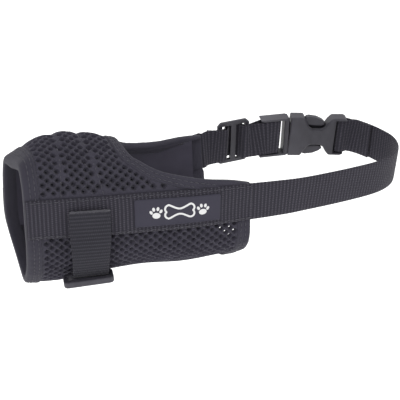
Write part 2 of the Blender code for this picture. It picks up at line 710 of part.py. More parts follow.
def make_far_strap():
    """From the far wing through the slider, round the male half's bar and back out as the tail."""
    standing, returning, lift = strand_offsets()
    steps = np.arange(-9.2, 9.21, 0.8)
    wing = sleeve_point(SLEEVE_LENGTH, 0.0, 1, GAP + WEBBING_THICKNESS / 2)
    start = [np.array((wing.x + x, wing.y + y, wing.z + z)) for x, y, z in ((0.7, 0, 0), (1.7, 0, 0), (4.4, 1.1, 0.6))]
    first = [in_frame(SLIDER, x, weave(x, standing, lift, 1.7, 5.6)) for x in steps]
    to_bar = [in_frame(MALE, x, -WRAP_RADIUS) for x in (WRAP_BAR_X - 6.0, WRAP_BAR_X - 3.0)]
    turn = [in_frame(MALE, x, y) for x, y in arc((WRAP_BAR_X, 0), WRAP_RADIUS, -90, 90, 11)]
    back = [in_frame(MALE, x, WRAP_RADIUS) for x in (WRAP_BAR_X - 3.0, WRAP_BAR_X - 6.0)]
    second = [in_frame(SLIDER, x, weave(x, returning, lift, 2.9, 6.7)) for x in reversed(steps)]
    beside = np.array((0, layer_step(TAIL_SPREAD), 0))
    tail = [start[-1] + (second[-1] - first[0]) * 0.5 + (first[0] - start[-1]) * 0.45, start[-1] + beside]
    path = start + first + to_bar + turn + back + second + tail
    return ribbon("neck_strap_far", path, loop_up(path, 1), WEBBING_WIDTH, WEBBING_THICKNESS, "webbing")


def approach_curve():
    """Centre line of the near strap: along the near side, round the back and up to the buckle."""
    wing = sleeve_point(SLEEVE_LENGTH, 0.0, -1, GAP + WEBBING_THICKNESS / 2)
    end = in_frame(BUCKLE, FEMALE_LENGTH + 1.0, 0)
    before = in_frame(BUCKLE, FEMALE_LENGTH + 7.0, -1.0, -0.6)
    points = [(wing.x + GAP, wing.y, wing.z), (125, -35.0, -0.2), (140, -34.2, -0.3), (170, -29.0, -0.5),
              (191, -22.3, -0.8), (204, -12.0, -0.5), (209.3, 2.0, 0.5), (206.5, 14.0, 2.0), tuple(before), tuple(end)]
    return smooth_curve(points, 5)


def loop_up(centres, side):
    """Width direction along the neck strap: the band's own at the sleeve, then the loop's lean."""
    half = WEBBING_WIDTH / 2
    start = sleeve_point(SLEEVE_LENGTH, half, side, 0.0) - sleeve_point(SLEEVE_LENGTH, -half, side, 0.0)
    start.normalize()
    lean = np.array((0, -math.sin(LOOP_LEAN), math.cos(LOOP_LEAN)))
    growth = LEAN_GROWTH_NEAR if side < 0 else LEAN_GROWTH_FAR
    grow = np.clip((np.asarray(centres)[:, 0] - SLEEVE_LENGTH) / growth, 0, 1)[:, None]
    return (1 - grow) * np.array(start) + grow * lean


def split_at(curve, from_end):
    """The curve cut at a distance before its end."""
    steps = np.linalg.norm(np.diff(curve, axis=0), axis=1)
    left = np.r_[np.cumsum(steps[::-1])[::-1], 0]
    point = np.array([np.interp(from_end, left[::-1], curve[::-1, k]) for k in range(3)])
    before = curve[left > from_end + 0.5]
    after = curve[left < from_end - 0.5]
    return np.vstack([before, point]), np.vstack([point, after])


def sideways(curve, distance):
    """The curve moved out of the loop by a distance that may change along it."""
    along = np.gradient(curve, axis=0)
    out = np.cross(np.array((0, 0, 1.0)), along)
    out /= np.linalg.norm(out, axis=1)[:, None]
    return curve + out * np.reshape(distance, (-1, 1))


def make_near_strap():
    curve = approach_curve()
    main, fold = split_at(curve, FOLD_LENGTH)
    layer = (WEBBING_THICKNESS + GAP) / 2
    shift = layer * np.clip((np.arange(len(main)) - len(main) + 8) / 7.0, 0, 1)
    path = sideways(main, -shift)
    step = (path[-1] - path[-2]) / np.linalg.norm(path[-1] - path[-2])
    path[-1] = path[-1] - step * GAP
    ribbon("neck_strap_near", path, loop_up(path, -1), WEBBING_WIDTH,
           WEBBING_THICKNESS, "webbing")
    outer = sideways(fold, -layer)
    inner = sideways(fold, layer)
    spread = [in_frame(BUCKLE, END_BAR_X + 1.2, y) for y in (WRAP_RADIUS, -WRAP_RADIUS)]
    turn = [in_frame(BUCKLE, x, y) for x, y in arc((END_BAR_X, 0), WRAP_RADIUS, 90, 270, 11)]
    loop = np.vstack([outer[:-1], spread[0], turn, spread[1], inner[:-1][::-1]])
    origin = in_frame(BUCKLE, 0, 0)
    ribbon("neck_strap_fold", loop, loop_up(loop, -1), WEBBING_WIDTH, WEBBING_THICKNESS, "webbing", origin)


# ---------------------------------------------------------------- build

def build():
    clear_scene()
    make_bridge_mesh()
    make_chin_mesh()
    make_front_binding()
    make_edge_binding()
    make_rear_binding()
    for word, side in (("near", -1), ("far", 1)):
        make_side_mesh("side_mesh_" + word, side)
        make_lining("lining_" + word, side)
        make_side_band("side_band_" + word, side)
    make_label()
    make_ring_loop()
    make_cinch_flap()
    make_ring()
    make_cinch_strap()
    make_female_buckle()
    make_male_buckle()
    make_prong("prong_upper", 1)
    make_prong("prong_lower", -1)
    make_slider()
    make_far_strap()
    make_near_strap()


build()
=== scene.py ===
"""The looks of the soft mesh dog muzzle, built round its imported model.

Lengths are in millimetres and are turned into metres when a mesh is made. The nose goes in
towards -X, the neck strap is towards +X, the near side is -Y and +Z is up.
"""

import functools
import math

import bmesh
import bpy
import numpy as np
from mathutils import Matrix, Vector


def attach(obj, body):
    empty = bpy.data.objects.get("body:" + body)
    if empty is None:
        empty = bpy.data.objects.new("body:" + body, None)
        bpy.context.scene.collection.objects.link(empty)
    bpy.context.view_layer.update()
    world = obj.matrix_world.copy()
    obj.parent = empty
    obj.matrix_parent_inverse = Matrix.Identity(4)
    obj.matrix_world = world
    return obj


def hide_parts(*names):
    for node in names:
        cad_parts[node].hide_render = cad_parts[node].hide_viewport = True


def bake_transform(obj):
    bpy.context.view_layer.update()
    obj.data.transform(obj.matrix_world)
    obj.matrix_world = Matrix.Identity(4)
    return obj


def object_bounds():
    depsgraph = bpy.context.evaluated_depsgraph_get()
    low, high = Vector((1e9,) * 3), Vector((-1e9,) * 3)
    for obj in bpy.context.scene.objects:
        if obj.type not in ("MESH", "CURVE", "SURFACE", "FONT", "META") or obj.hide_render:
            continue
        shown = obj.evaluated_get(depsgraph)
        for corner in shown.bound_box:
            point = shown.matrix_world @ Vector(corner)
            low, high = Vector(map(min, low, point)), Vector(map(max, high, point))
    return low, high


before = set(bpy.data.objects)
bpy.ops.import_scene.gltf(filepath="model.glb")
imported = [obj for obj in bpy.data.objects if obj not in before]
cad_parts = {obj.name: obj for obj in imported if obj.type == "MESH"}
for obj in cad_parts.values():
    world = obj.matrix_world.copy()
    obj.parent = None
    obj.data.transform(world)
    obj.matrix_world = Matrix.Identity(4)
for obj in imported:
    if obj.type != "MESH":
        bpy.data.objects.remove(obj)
CAD_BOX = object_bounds()

MM = 0.001
NEAR, FAR = -1, 1
GAP = 0.35

# ---------------------------------------------------------------- the sleeve's sizes

WEBBING_WIDTH = 20.0
WEBBING_THICKNESS = 1.1
BAND_THICKNESS = 1.2
MESH_THICKNESS = 2.6
LINING_THICKNESS = 0.7
SLEEVE_LENGTH = 112.0
BRIDGE_LENGTH = 54.0
RIM_WIDTH = 7.0
EDGE_WIDTH = 5.5
CHIN_SEAM = -23.5
LINING_LOW = -12.0
SKEW = 2.5
CHIN_SETBACK = 1.6
CHIN_DEPTH = 38.0
STATIONS = (0.0, 7.0, 18.0, 34.0, 54.0, 82.0, 112.0)
SECTIONS = (
    ((0, 26.6), (9, 27.2), (16.2, 26.4), (20.4, 18), (21.8, 8),
     (22.0, -4), (19.8, -16), (11.8, -30.5), (0, -37.9)),
    ((0, 33.6), (9, 32.4), (16.8, 28.8), (21.2, 20), (22.9, 9),
     (23.2, -4), (21.4, -18), (13.0, -32), (0, -39.0)),
    ((0, 38.2), (9.5, 35.2), (17.5, 29.2), (22.2, 21), (24.9, 9),
     (25.3, -4), (23.6, -19), (14, -33), (0, -39.6)),
    ((0, 37.3), (10, 33.4), (18, 27.6), (23.2, 20), (27.5, 9),
     (28.1, -4), (26.3, -20), (16, -32.6), (0, -37.9)),
    ((0, 30.4), (9, 28.6), (18, 24.8), (25.0, 19), (29.8, 9),
     (30.8, -4), (29.0, -20.5), (18, -32), (0, -37.2)),
    ((0, 27.0), (12, 26.0), (24, 21.5), (31.0, 17), (33.9, 9),
     (33.9, -4), (32.6, -21.5), (20.5, -32.6), (0, -40.2)),
    ((0, 24.0), (13, 24.0), (26, 21.5), (33.0, 17), (34.9, 9),
     (33.5, -4), (32.6, -22), (21.5, -32.5), (0, -42.4)),
)
TWISTS = (-0.21, -0.196, -0.172, -0.132, -0.075, -0.045, 0.045)
SECTION_SAMPLES = 14
WING_EDGE = ((59.5, 23.2), (65.5, 19.9), (76.0, 17.0), (88.0, 14.5), (100.0, 12.6), (107.0, 10.9),
             (111.5, 9.6))

LABEL_START = 51.7
LABEL_LENGTH = 43.0
LABEL_HEIGHT = 14.0
LABEL_THICKNESS = 0.8

CINCH_CENTRE = 30.3
CINCH_WIDTH = 20.0
CINCH_TOP = 4.5
RING_BAR = 3.2
RING_INNER = (-8.3, -34.9)
RING_TILT = math.radians(4.0)
RING_GATHER = 0.11
HINGE_HEIGHT = -33.1
TURN_START = 14.0

LOOP_LEAN = math.radians(11.0)
LEAN_GROWTH_NEAR = 30.0
LEAN_GROWTH_FAR = 7.0
BUCKLE_START = Vector((161.8, 35.2, 6.6))
BUCKLE_DIRECTION = Vector((46.5, -10.9, -2.4))
MALE_START = Vector((161.3, 35.2, 6.6))
MALE_DIRECTION = Vector((1.0, -0.10, 0.02))
FEMALE_LENGTH = 32.0
WRAP_BAR_X = -7.5
END_BAR_X = 29.2
WRAP_RADIUS = 1.5 + GAP + WEBBING_THICKNESS / 2
FOLD_LENGTH = 15.0
SLIDER_CENTRE = Vector((130.2, 40.2, 4.4))
SLIDER_DIRECTION = Vector((1.0, 0.045, 0.06))
SLIDER_DEPTH = 1.8
TAIL_SPREAD = 0.8
SLIDER_REACH = 9.2             # length of strap woven through the slider, each way from its middle
SLIDER_STEP = 0.8
STRAP_TUCK = 1.2               # how far a neck strap starts inside the band's end


# ---------------------------------------------------------------- curves

def smooth_curve(points, per_span):
    """Points on a smooth curve through all the given points."""
    points = np.asarray(points, float)
    padded = np.vstack([2 * points[0] - points[1], points, 2 * points[-1] - points[-2]])
    curve = []
    for i in range(1, len(padded) - 2):
        before, start, end, after = padded[i - 1:i + 3]
        for t in np.arange(per_span) / per_span:
            curve.append(0.5 * (2 * start + (end - before) * t
                                + (2 * before - 5 * start + 4 * end - after) * t ** 2
                                + (3 * start - before - 3 * end + after) * t ** 3))
    curve.append(points[-1])
    return np.array(curve)


def smooth_value(x, stations, values):
    """A value at x on a smooth line through the values at the stations."""
    stations = np.asarray(stations, float)
    values = np.asarray(values, float)
    slopes = np.gradient(values, stations, axis=0)
    i = int(np.clip(np.searchsorted(stations, x) - 1, 0, len(stations) - 2))
    span = stations[i + 1] - stations[i]
    t = (x - stations[i]) / span
    return ((2 * t ** 3 - 3 * t ** 2 + 1) * values[i] + (t ** 3 - 2 * t ** 2 + t) * span * slopes[i]
            + (3 * t ** 2 - 2 * t ** 3) * values[i + 1] + (t ** 3 - t ** 2) * span * slopes[i + 1])


def smooth_step(t):
    t = np.clip(t, 0.0, 1.0)
    return t * t * (3 - 2 * t)


def unit(rows):
    """Each row at length 1."""
    return rows / np.linalg.norm(rows, axis=1)[:, None]


def square_to(rows, along):
    """Each row without its part along a unit direction."""
    return rows - (rows * along).sum(1)[:, None] * along


def distances(points):
    """Each point's distance along the line through the points."""
    return np.r_[0, np.cumsum(np.linalg.norm(np.diff(points, axis=0), axis=1))]


def resample(points, step):
    """Evenly spaced points on the smooth curve through the points, and their distances along it."""
    dense = smooth_curve(points, 12)
    along = distances(dense[:, :3])
    count = max(3, int(round(along[-1] / step)) + 1)
    at = np.linspace(0, along[-1], count)
    return np.stack([np.interp(at, along, dense[:, k]) for k in range(dense.shape[1])], axis=1), at


# ---------------------------------------------------------------- the sleeve's surface

@functools.lru_cache(maxsize=None)
def section(x):
    """Half outline at x: half widths, heights and girth positions (0 at height 0, up is positive)."""
    outline = smooth_value(x, STATIONS, SECTIONS)
    mirrored_start = outline[1] * (-1, 1)
    mirrored_end = outline[-2] * (-1, 1)
    padded = np.vstack([mirrored_start, outline, mirrored_end])
    dense = smooth_curve(padded, SECTION_SAMPLES)[SECTION_SAMPLES:-SECTION_SAMPLES]
    lengths = distances(dense)
    level = np.interp(0.0, -dense[:, 1], lengths)
    return dense[:, 0], dense[:, 1], level - lengths


def crest_girth(x):
    return float(section(float(x))[2][0])


def chin_girth(x):
    return float(section(float(x))[2][-1])


def girth_at_height(x, height):
    _, heights, girths = section(float(x))
    return float(np.interp(-height, -heights, girths))


def sleeve_row(x, girths, side, out):
    """Points on the sleeve at one x, out millimetres outside the mesh panels' outer face."""
    widths, heights, levels = section(float(x))
    order = -levels
    girths = np.clip(girths, levels[-1], levels[0])
    y = np.interp(-girths, order, widths)
    z = np.interp(-girths, order, heights)
    step = 0.6
    low = np.clip(-girths - step, order[0], order[-1])
    high = np.clip(-girths + step, order[0], order[-1])
    along_y = np.interp(high, order, widths) - np.interp(low, order, widths)
    along_z = np.interp(high, order, heights) - np.interp(low, order, heights)
    length = np.hypot(along_y, along_z)
    y = y - along_z / length * out
    z = z + along_y / length * out
    half_width = float(np.interp(0.0, order, widths))
    across = y * side + half_width
    turn = float(smooth_value(x, STATIONS, TWISTS))
    low = smooth_step(-z / CHIN_DEPTH)
    shift = CHIN_SETBACK * low * (1 - x / SLEEVE_LENGTH) - SKEW * across / (2 * half_width) * (1 - low)
    return np.stack([x + shift, y * side, z + turn * across], axis=-1)


TABLE_STEP = 0.5
TABLE_X = np.arange(0.0, SLEEVE_LENGTH + TABLE_STEP / 2, TABLE_STEP)
TABLE_G = np.arange(-62.0, 66.0 + TABLE_STEP / 2, TABLE_STEP)


def make_table(side):
    """Points on the surface and the shift per millimetre outwards, on an even grid of (x, girth)."""
    base = np.array([sleeve_row(x, TABLE_G, side, 0.0) for x in TABLE_X])
    raised = np.array([sleeve_row(x, TABLE_G, side, 1.0) for x in TABLE_X])
    return base, raised - base


TABLES = {NEAR: make_table(NEAR), FAR: make_table(FAR)}
CREST = np.array([crest_girth(x) for x in TABLE_X])
CHIN = np.array([chin_girth(x) for x in TABLE_X])


def on_sleeve(x, girth, side, out):
    """Surface points for arrays of places; side and out may be arrays too."""
    x, girth, side, out = np.broadcast_arrays(*[np.asarray(v, float) for v in (x, girth, side, out)])
    i = np.clip((x - TABLE_X[0]) / TABLE_STEP, 0, len(TABLE_X) - 1.001)
    girth = np.clip(girth, np.interp(x, TABLE_X, CHIN), np.interp(x, TABLE_X, CREST))
    j = np.clip((girth - TABLE_G[0]) / TABLE_STEP, 0, len(TABLE_G) - 1.001)
    i0, j0 = i.astype(int), j.astype(int)
    a, b = (i - i0)[..., None], (j - j0)[..., None]
    found = np.zeros(x.shape + (3,))
    for which in (NEAR, FAR):
        mask = (side < 0) if which == NEAR else (side >= 0)
        if not mask.any():
            continue
        for layer, weight in zip(TABLES[which], (1.0, out[..., None])):
            value = ((layer[i0, j0] * (1 - b) + layer[i0, j0 + 1] * b) * (1 - a)
                     + (layer[i0 + 1, j0] * (1 - b) + layer[i0 + 1, j0 + 1] * b) * a) * weight
            found[mask] += value[mask]
    return found


def rows_on_sleeve(rows):
    """Surface points for an array whose last axis is (x, girth, side, out)."""
    return on_sleeve(*np.moveaxis(rows, -1, 0))


def over_crest(x, s):
    """(girth, side) of a place counted from the near band over the crest to the far side."""
    crest = np.interp(x, TABLE_X, CREST)
    return np.where(s <= crest, s, 2 * crest - s), np.where(s <= crest, NEAR, FAR)


def under_chin(x, s):
    """(girth, side) of a place counted from the near band down under the chin to the far side."""
    chin = np.interp(x, TABLE_X, CHIN)
    return np.where(s >= chin, s, 2 * chin - s), np.where(s >= chin, NEAR, FAR)


def wing_edge_curve(per_span=4):
    """The top edge as (x, girth): from the crest over the shoulder and down to the band's end."""
    on_wing = [(x, girth_at_height(x, height)) for x, height in WING_EDGE]
    crest = (BRIDGE_LENGTH, crest_girth(BRIDGE_LENGTH))
    over = (BRIDGE_LENGTH + 1.3, girth_at_height(BRIDGE_LENGTH, 26.6))
    return smooth_curve([crest, over] + on_wing, per_span)


def inset_curve(curve, distance):
    """The curve moved into the panel by a distance, in the surface's own (x, girth) plane."""
    slopes = np.gradient(curve, axis=0)
    slopes[0] = (0, -1)
    slopes = unit(slopes)
    inward = np.stack([slopes[:, 1], -slopes[:, 0]], axis=1)
    return curve + inward * distance


# ---------------------------------------------------------------- meshes

def add_mesh(name, vertices, faces, finish, places=None, smooth=True, sharp=None):
    """A mesh object from millimetre points. places are the cloth's own flat coordinates, in mm."""
    mesh = bpy.data.meshes.new(name)
    mesh.from_pydata(np.asarray(vertices, float) * MM, [], [tuple(int(k) for k in f) for f in faces])
    mesh.update()
    if places is not None:
        flat = np.zeros((len(vertices), 3), np.float32)
        flat[:, :2] = places
        layer = mesh.attributes.new("cloth_place", "FLOAT_VECTOR", "POINT")
        layer.data.foreach_set("vector", flat.ravel())
    if smooth:
        mesh.shade_smooth()
    if sharp:
        mesh.set_sharp_from_angle(angle=math.radians(sharp))
    mesh.materials.append(MATERIALS[finish])
    thing = bpy.data.objects.new(name, mesh)
    bpy.context.scene.collection.objects.link(thing)
    return thing


def finish_piece(thing, body, slot, *nodes):
    if body is not None:
        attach(thing, body)
    if nodes:
        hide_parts(*nodes)
    return thing


def tube_faces(rows, columns, closed_rows=False):
    """Quads of a grid whose columns are closed into a ring; its ends get caps unless closed."""
    faces = []
    for i in range(rows if closed_rows else rows - 1):
        for j in range(columns):
            a, b = i * columns + j, i * columns + (j + 1) % columns
            c, d = (i + 1) % rows * columns + (j + 1) % columns, (i + 1) % rows * columns + j
            faces.append((a, b, c, d))
    if not closed_rows:
        half = columns // 2
        for row, flip in ((0, True), (rows - 1, False)):
            for j in range(half - 1):
                base = row * columns
                quad = (base + j, base + j + 1, base + columns - 2 - j, base + columns - 1 - j)
                faces.append(tuple(reversed(quad)) if not flip else quad)
    return faces


def face_out(thing):
    """Faces of a closed mesh turned outwards."""
    shape = bmesh.new()
    shape.from_mesh(thing.data)
    bmesh.ops.recalc_face_normals(shape, faces=shape.faces)
    shape.to_mesh(thing.data)
    shape.free()
    return thing


def thread_faces(base, rings, sides):
    """Faces of one closed length of thread whose vertices start at base."""
    faces = []
    for r in range(rings - 1):
        for k in range(sides):
            a, b = base + r * sides + k, base + r * sides + (k + 1) % sides
            faces.append((a, b, b + sides, a + sides))
    faces.append(tuple(base + k for k in reversed(range(sides))))
    faces.append(tuple(base + (rings - 1) * sides + k for k in range(sides)))
    return faces


# ---------------------------------------------------------------- materials

SHADE = 0.62                   # a screen colour holds light and sheen as well as the dye


def by_eye(text):
    """A screen colour as linear light."""
    values = [int(text[k:k + 2], 16) / 255 for k in (0, 2, 4)]
    return tuple((v / 12.92 if v <= 0.04045 else ((v + 0.055) / 1.055) ** 2.4) * SHADE for v in values)


class Finish:
    """A node material, with short calls for the nodes that the fabrics share."""

    def __init__(self, name, roughness, specular=0.3, sheen=0.0, sheen_roughness=0.5):
        self.made = bpy.data.materials.new(name)
        self.made.use_nodes = True
        self.nodes = self.made.node_tree.nodes
        self.shader = self.nodes["Principled BSDF"]
        self.shader.inputs["Roughness"].default_value = roughness
        self.shader.inputs["Specular IOR Level"].default_value = specular
        self.shader.inputs["Sheen Weight"].default_value = sheen
        self.shader.inputs["Sheen Roughness"].default_value = sheen_roughness

    def link(self, a, b):
        self.made.node_tree.links.new(a, b)

    def node(self, kind, **settings):
        node = self.nodes.new(kind)
        for key, value in settings.items():
            setattr(node, key, value)
        return node

    def place(self, scale=1.0):
        """The cloth's own flat coordinates, in millimetres."""
        found = self.node("ShaderNodeAttribute", attribute_name="cloth_place").outputs["Vector"]
        return self.scaled(found, (scale, scale, scale))

    def where(self, scale=1.0):
        """The place in space, in millimetres."""
        found = self.node("ShaderNodeTexCoord").outputs["Object"]
        return self.scaled(found, (scale * 1000,) * 3)

    def scaled(self, vector, factors):
        node = self.node("ShaderNodeVectorMath", operation="MULTIPLY")
        self.link(vector, node.inputs[0])
        node.inputs[1].default_value = factors
        return node.outputs[0]

    def math(self, operation, a, b=0.0, clamp=False):
        node = self.node("ShaderNodeMath", operation=operation, use_clamp=clamp)
        for socket, value in zip(node.inputs, (a, b)):
            if isinstance(value, (int, float)):
                socket.default_value = value
            else:
                self.link(value, socket)
        return node.outputs[0]

    def plus(self, a, b, clamp=False):
        return self.math("ADD", a, b, clamp)

    def minus(self, a, b, clamp=False):
        return self.math("SUBTRACT", a, b, clamp)

    def times(self, a, b, clamp=False):
        return self.math("MULTIPLY", a, b, clamp)

    def split(self, vector):
        node = self.node("ShaderNodeSeparateXYZ")
        self.link(vector, node.inputs[0])
        return node.outputs[0], node.outputs[1]

    def noise(self, vector, scale, detail=2.0):
        node = self.node("ShaderNodeTexNoise")
        self.link(vector, node.inputs["Vector"])
        node.inputs["Scale"].default_value = scale
        node.inputs["Detail"].default_value = detail
        return node.outputs["Fac"]

    def ribs(self, coordinate, pitch, phase=0.0):
        turned = self.node("ShaderNodeMath", operation="MULTIPLY_ADD")
        self.link(coordinate, turned.inputs[0])
        turned.inputs[1].default_value = 2 * math.pi / pitch
        if isinstance(phase, (int, float)):
            turned.inputs[2].default_value = phase
        else:
            self.link(phase, turned.inputs[2])
        sine = self.math("SINE", turned.outputs[0])
        half = self.node("ShaderNodeMath", operation="MULTIPLY_ADD")
        self.link(sine, half.inputs[0])
        half.inputs[1].default_value = 0.5
        half.inputs[2].default_value = 0.5
        return half.outputs[0]

    def mix(self, factor, dark, light):
        node = self.node("ShaderNodeMix", data_type="RGBA")
        self.link(factor, node.inputs["Factor"])
        for socket, value in ((node.inputs[6], dark), (node.inputs[7], light)):
            if isinstance(value, tuple):
                socket.default_value = (*value, 1.0)
            else:
                self.link(value, socket)
        return node.outputs[2]

    def colour(self, value):
        self.link(value, self.shader.inputs["Base Color"])

    def roughness(self, factor, low, high):
        node = self.node("ShaderNodeMapRange")
        self.link(factor, node.inputs["Value"])
        node.inputs["To Min"].default_value = low
        node.inputs["To Max"].default_value = high
        self.link(node.outputs[0], self.shader.inputs["Roughness"])

    def bump(self, height, distance, strength=1.0):
        node = self.node("ShaderNodeBump")
        node.inputs["Distance"].default_value = distance * MM
        node.inputs["Strength"].default_value = strength
        self.link(height, node.inputs["Height"])
        self.link(node.outputs[0], self.shader.inputs["Normal"])


def spacer_mesh_finish(name, dark, light):
    """Knitted polyester: fine loops, slight streaks along the knit and a soft bloom."""
    f = Finish(name, 0.9, 0.12, 0.1, 0.4)
    place = f.place()
    x, y = f.split(place)
    loops = f.times(f.ribs(x, 0.62), f.ribs(y, 0.8))
    fuzz = f.noise(place, 1.6, 3.0)
    drift = f.noise(f.where(), 0.045, 2.0)
    tone = f.plus(f.times(loops, 0.35), f.times(fuzz, 0.75))
    tone = f.plus(tone, f.times(drift, 0.35))
    f.colour(f.mix(f.minus(tone, 0.3, True), by_eye(dark), by_eye(light)))
    f.bump(f.plus(loops, f.times(fuzz, 0.8)), 0.16)
    return f.made


def tape_finish(name, dark, light):
    """Folded polyester tape: fine twill lines and a little lint."""
    f = Finish(name, 0.85, 0.12, 0.1, 0.4)
    place = f.place()
    x, y = f.split(place)
    twill = f.ribs(f.plus(x, f.times(y, 0.8)), 0.9)
    across = f.ribs(y, 0.75)
    lint = f.noise(place, 1.1, 4.0)
    drift = f.noise(f.where(), 0.05, 2.0)
    tone = f.plus(f.times(twill, 0.3), f.times(lint, 0.6))
    tone = f.plus(tone, f.times(drift, 0.4))
    f.colour(f.mix(f.minus(tone, 0.22, True), by_eye(dark), by_eye(light)))
    f.bump(f.plus(f.times(twill, 0.6), f.plus(across, f.times(lint, 0.6))), 0.12)
    return f.made


def webbing_finish(name, dark, light, dot, rib_pitch, dot_amount=1.0):
    """Woven webbing: ribs across the width, with the picks of the weave as lighter dots on them."""
    f = Finish(name, 0.82, 0.15, 0.08, 0.4)
    place = f.place()
    x, y = f.split(place)
    ribs = f.ribs(x, rib_pitch, -math.pi / 2)
    row = f.math("FLOOR", f.math("DIVIDE", x, rib_pitch))
    shift = f.times(row, math.pi)
    picks = f.ribs(y, 1.0, shift)
    fine = f.ribs(y, 0.5)
    lint = f.noise(place, 1.3, 3.0)
    drift = f.noise(f.where(), 0.04, 2.0)
    tone = f.plus(f.times(ribs, 0.6), f.times(f.minus(lint, 0.5), 0.5))
    tone = f.plus(tone, f.times(f.minus(drift, 0.5), 0.5), True)
    body = f.mix(tone, by_eye(dark), by_eye(light))
    dots = f.times(f.math("POWER", ribs, 3.0), f.math("POWER", picks, 2.0))
    dots = f.times(f.times(dots, lint), 1.5 * dot_amount, True)
    f.colour(f.mix(dots, body, by_eye(dot)))
    height = f.plus(f.times(ribs, 0.8), f.times(picks, 0.7))
    f.bump(f.plus(height, f.times(fine, 0.2)), 0.2)
    return f.made


def lining_finish(name, dark, light):
    """Smooth tricot lining."""
    f = Finish(name, 0.92, 0.12, 0.1, 0.5)
    place = f.place()
    x, y = f.split(place)
    knit = f.times(f.ribs(x, 0.45), f.ribs(y, 0.6))
    soft = f.noise(f.where(), 0.12, 3.0)
    f.colour(f.mix(f.plus(f.times(soft, 0.8), f.times(knit, 0.2), True),
                   by_eye(dark), by_eye(light)))
    f.bump(f.plus(knit, f.times(soft, 2.0)), 0.08)
    return f.made


def plastic_finish(name, dark, light):
    """Moulded acetal: a fine matt grain, with scuffs that are slightly rougher and paler, and convex edges
    painted paler as a painted highlight.
    """
    f = Finish(name, 0.42, 0.3)
    where = f.where()
    grain = f.noise(where, 3.0, 2.0)
    scuffs = f.noise(f.scaled(where, (1.0, 1.0, 0.35)), 0.35, 4.0)
    # Pointiness makes the convex edges paler: a painted highlight where the rims catch the light.
    edge = f.node("ShaderNodeNewGeometry").outputs["Pointiness"]
    edge_highlight = f.times(f.minus(edge, 0.5), 5.0, True)
    tone = f.plus(edge_highlight, f.times(scuffs, 0.6), True)
    f.colour(f.mix(tone, by_eye(dark), by_eye(light)))
    f.roughness(scuffs, 0.34, 0.56)
    f.bump(grain, 0.03)
    return f.made


def rubber_finish(name, dark, light):
    """Soft rubber with a faint matt skin."""
    f = Finish(name, 0.6, 0.2)
    where = f.where()
    skin = f.noise(where, 2.2, 3.0)
    cloud = f.noise(where, 0.09, 2.0)
    f.colour(f.mix(cloud, by_eye(dark), by_eye(light)))
    f.roughness(cloud, 0.5, 0.64)
    f.bump(skin, 0.035)
    return f.made


def thread_finish(name, dark, light):
    """Twisted sewing thread."""
    f = Finish(name, 0.6, 0.35, 0.2, 0.3)
    x, y = f.split(f.place())
    twist = f.ribs(f.plus(x, f.times(y, 2.0)), 0.55)
    lint = f.noise(f.place(), 2.0, 2.0)
    f.colour(f.mix(f.times(twist, lint, True), by_eye(dark), by_eye(light)))
    f.bump(twist, 0.08)
    return f.made


MATERIALS = {
    "mesh": spacer_mesh_finish("mesh_fabric_knit", "413f4a", "595663"),
    "tape": tape_finish("binding_tape_twill", "3c3a44", "504e5a"),
    "lining": lining_finish("lining_tricot", "45424f", "565361"),
    "webbing": webbing_finish("webbing_weave", "35333c", "43414b", "6e6b76", 1.9),
    "flap": webbing_finish("flap_weave", "302f37", "45444c", "5a5962", 1.9, 0.6),
    "sealed": thread_finish("flap_sealed_end", "4a4951", "67656f"),
    "plastic": plastic_finish("buckle_plastic_grain", "2c2b33", "57555e"),
    "rubber": rubber_finish("label_rubber_skin", "3b3947", "444250"),
    "mark": rubber_finish("label_mark_pale", "ffffff", "ffffff"),
    "thread": thread_finish("sewing_thread", "4a4853", "6f6d78"),
}


# ---------------------------------------------------------------- relief of the soft panels

QUILT_VALLEYS = (((22.0, 60.0), (20.6, 40.0), (19.0, 26.0), (17.4, 10.0)),
                 ((33.0, 56.0), (34.0, 42.0), (35.6, 28.0), (38.0, 10.0)))
PUFF_TOP = 1.7
PUFF_LOW = 0.5


def valley_x(which, girth):
    points = np.array(QUILT_VALLEYS[which])[::-1]
    return np.interp(girth, points[:, 1], points[:, 0])


def quilt_relief(x, girth):
    """Puffed channels of the nose bridge between the front binding, two valleys and the top edge."""
    first, second = valley_x(0, girth), valley_x(1, girth)
    front = RIM_WIDTH
    edge = wing_x(girth)
    bounds = (front, first, second, edge)
    height = np.zeros(np.shape(x))
    puff = PUFF_LOW + (PUFF_TOP - PUFF_LOW) * smooth_step((girth - 14.0) / 26.0)
    for low, high in zip(bounds[:-1], bounds[1:]):
        t = np.clip((x - low) / np.maximum(high - low, 1.0), 0, 1)
        inside = (x >= low) & (x < high)
        bulge = np.power(np.maximum(4 * t * (1 - t), 0), 0.6)
        height = np.where(inside, puff * (bulge - 0.45), height)
    return height * smooth_step((girth - 9.0) / 5.0)


EDGE_CURVE = wing_edge_curve(8)
PANEL_EDGE = inset_curve(EDGE_CURVE, EDGE_WIDTH - 0.8)


def wing_x(girth):
    """Where the bridge panel ends, under the top edge's tape."""
    return np.interp(-np.asarray(girth, float), -PANEL_EDGE[:, 1], PANEL_EDGE[:, 0])


# ---------------------------------------------------------------- perforated spacer mesh

HOLE_PITCH = 4.8
HOLE_ROW = 4.4
RING = 8
# Radius and depth of a hole: a rounded lip, the wall, a narrow throat and the back
CELL_RINGS = ((1.5, -0.14), (1.28, -0.6), (1.12, -1.15), (0.42, -1.7), (0.6, -2.45))


def cell_outline(centre):
    """A diamond about a hole's centre, with its corners shared between neighbours."""
    a, b = HOLE_PITCH / 2, HOLE_ROW / 2
    corners = np.array(((a, 0), (0, b), (-a, 0), (0, -b)))
    points = []
    for i in range(4):
        points.append(corners[i])
        points.append((corners[i] + corners[(i + 1) % 4]) / 2)
    return centre + np.array(points)


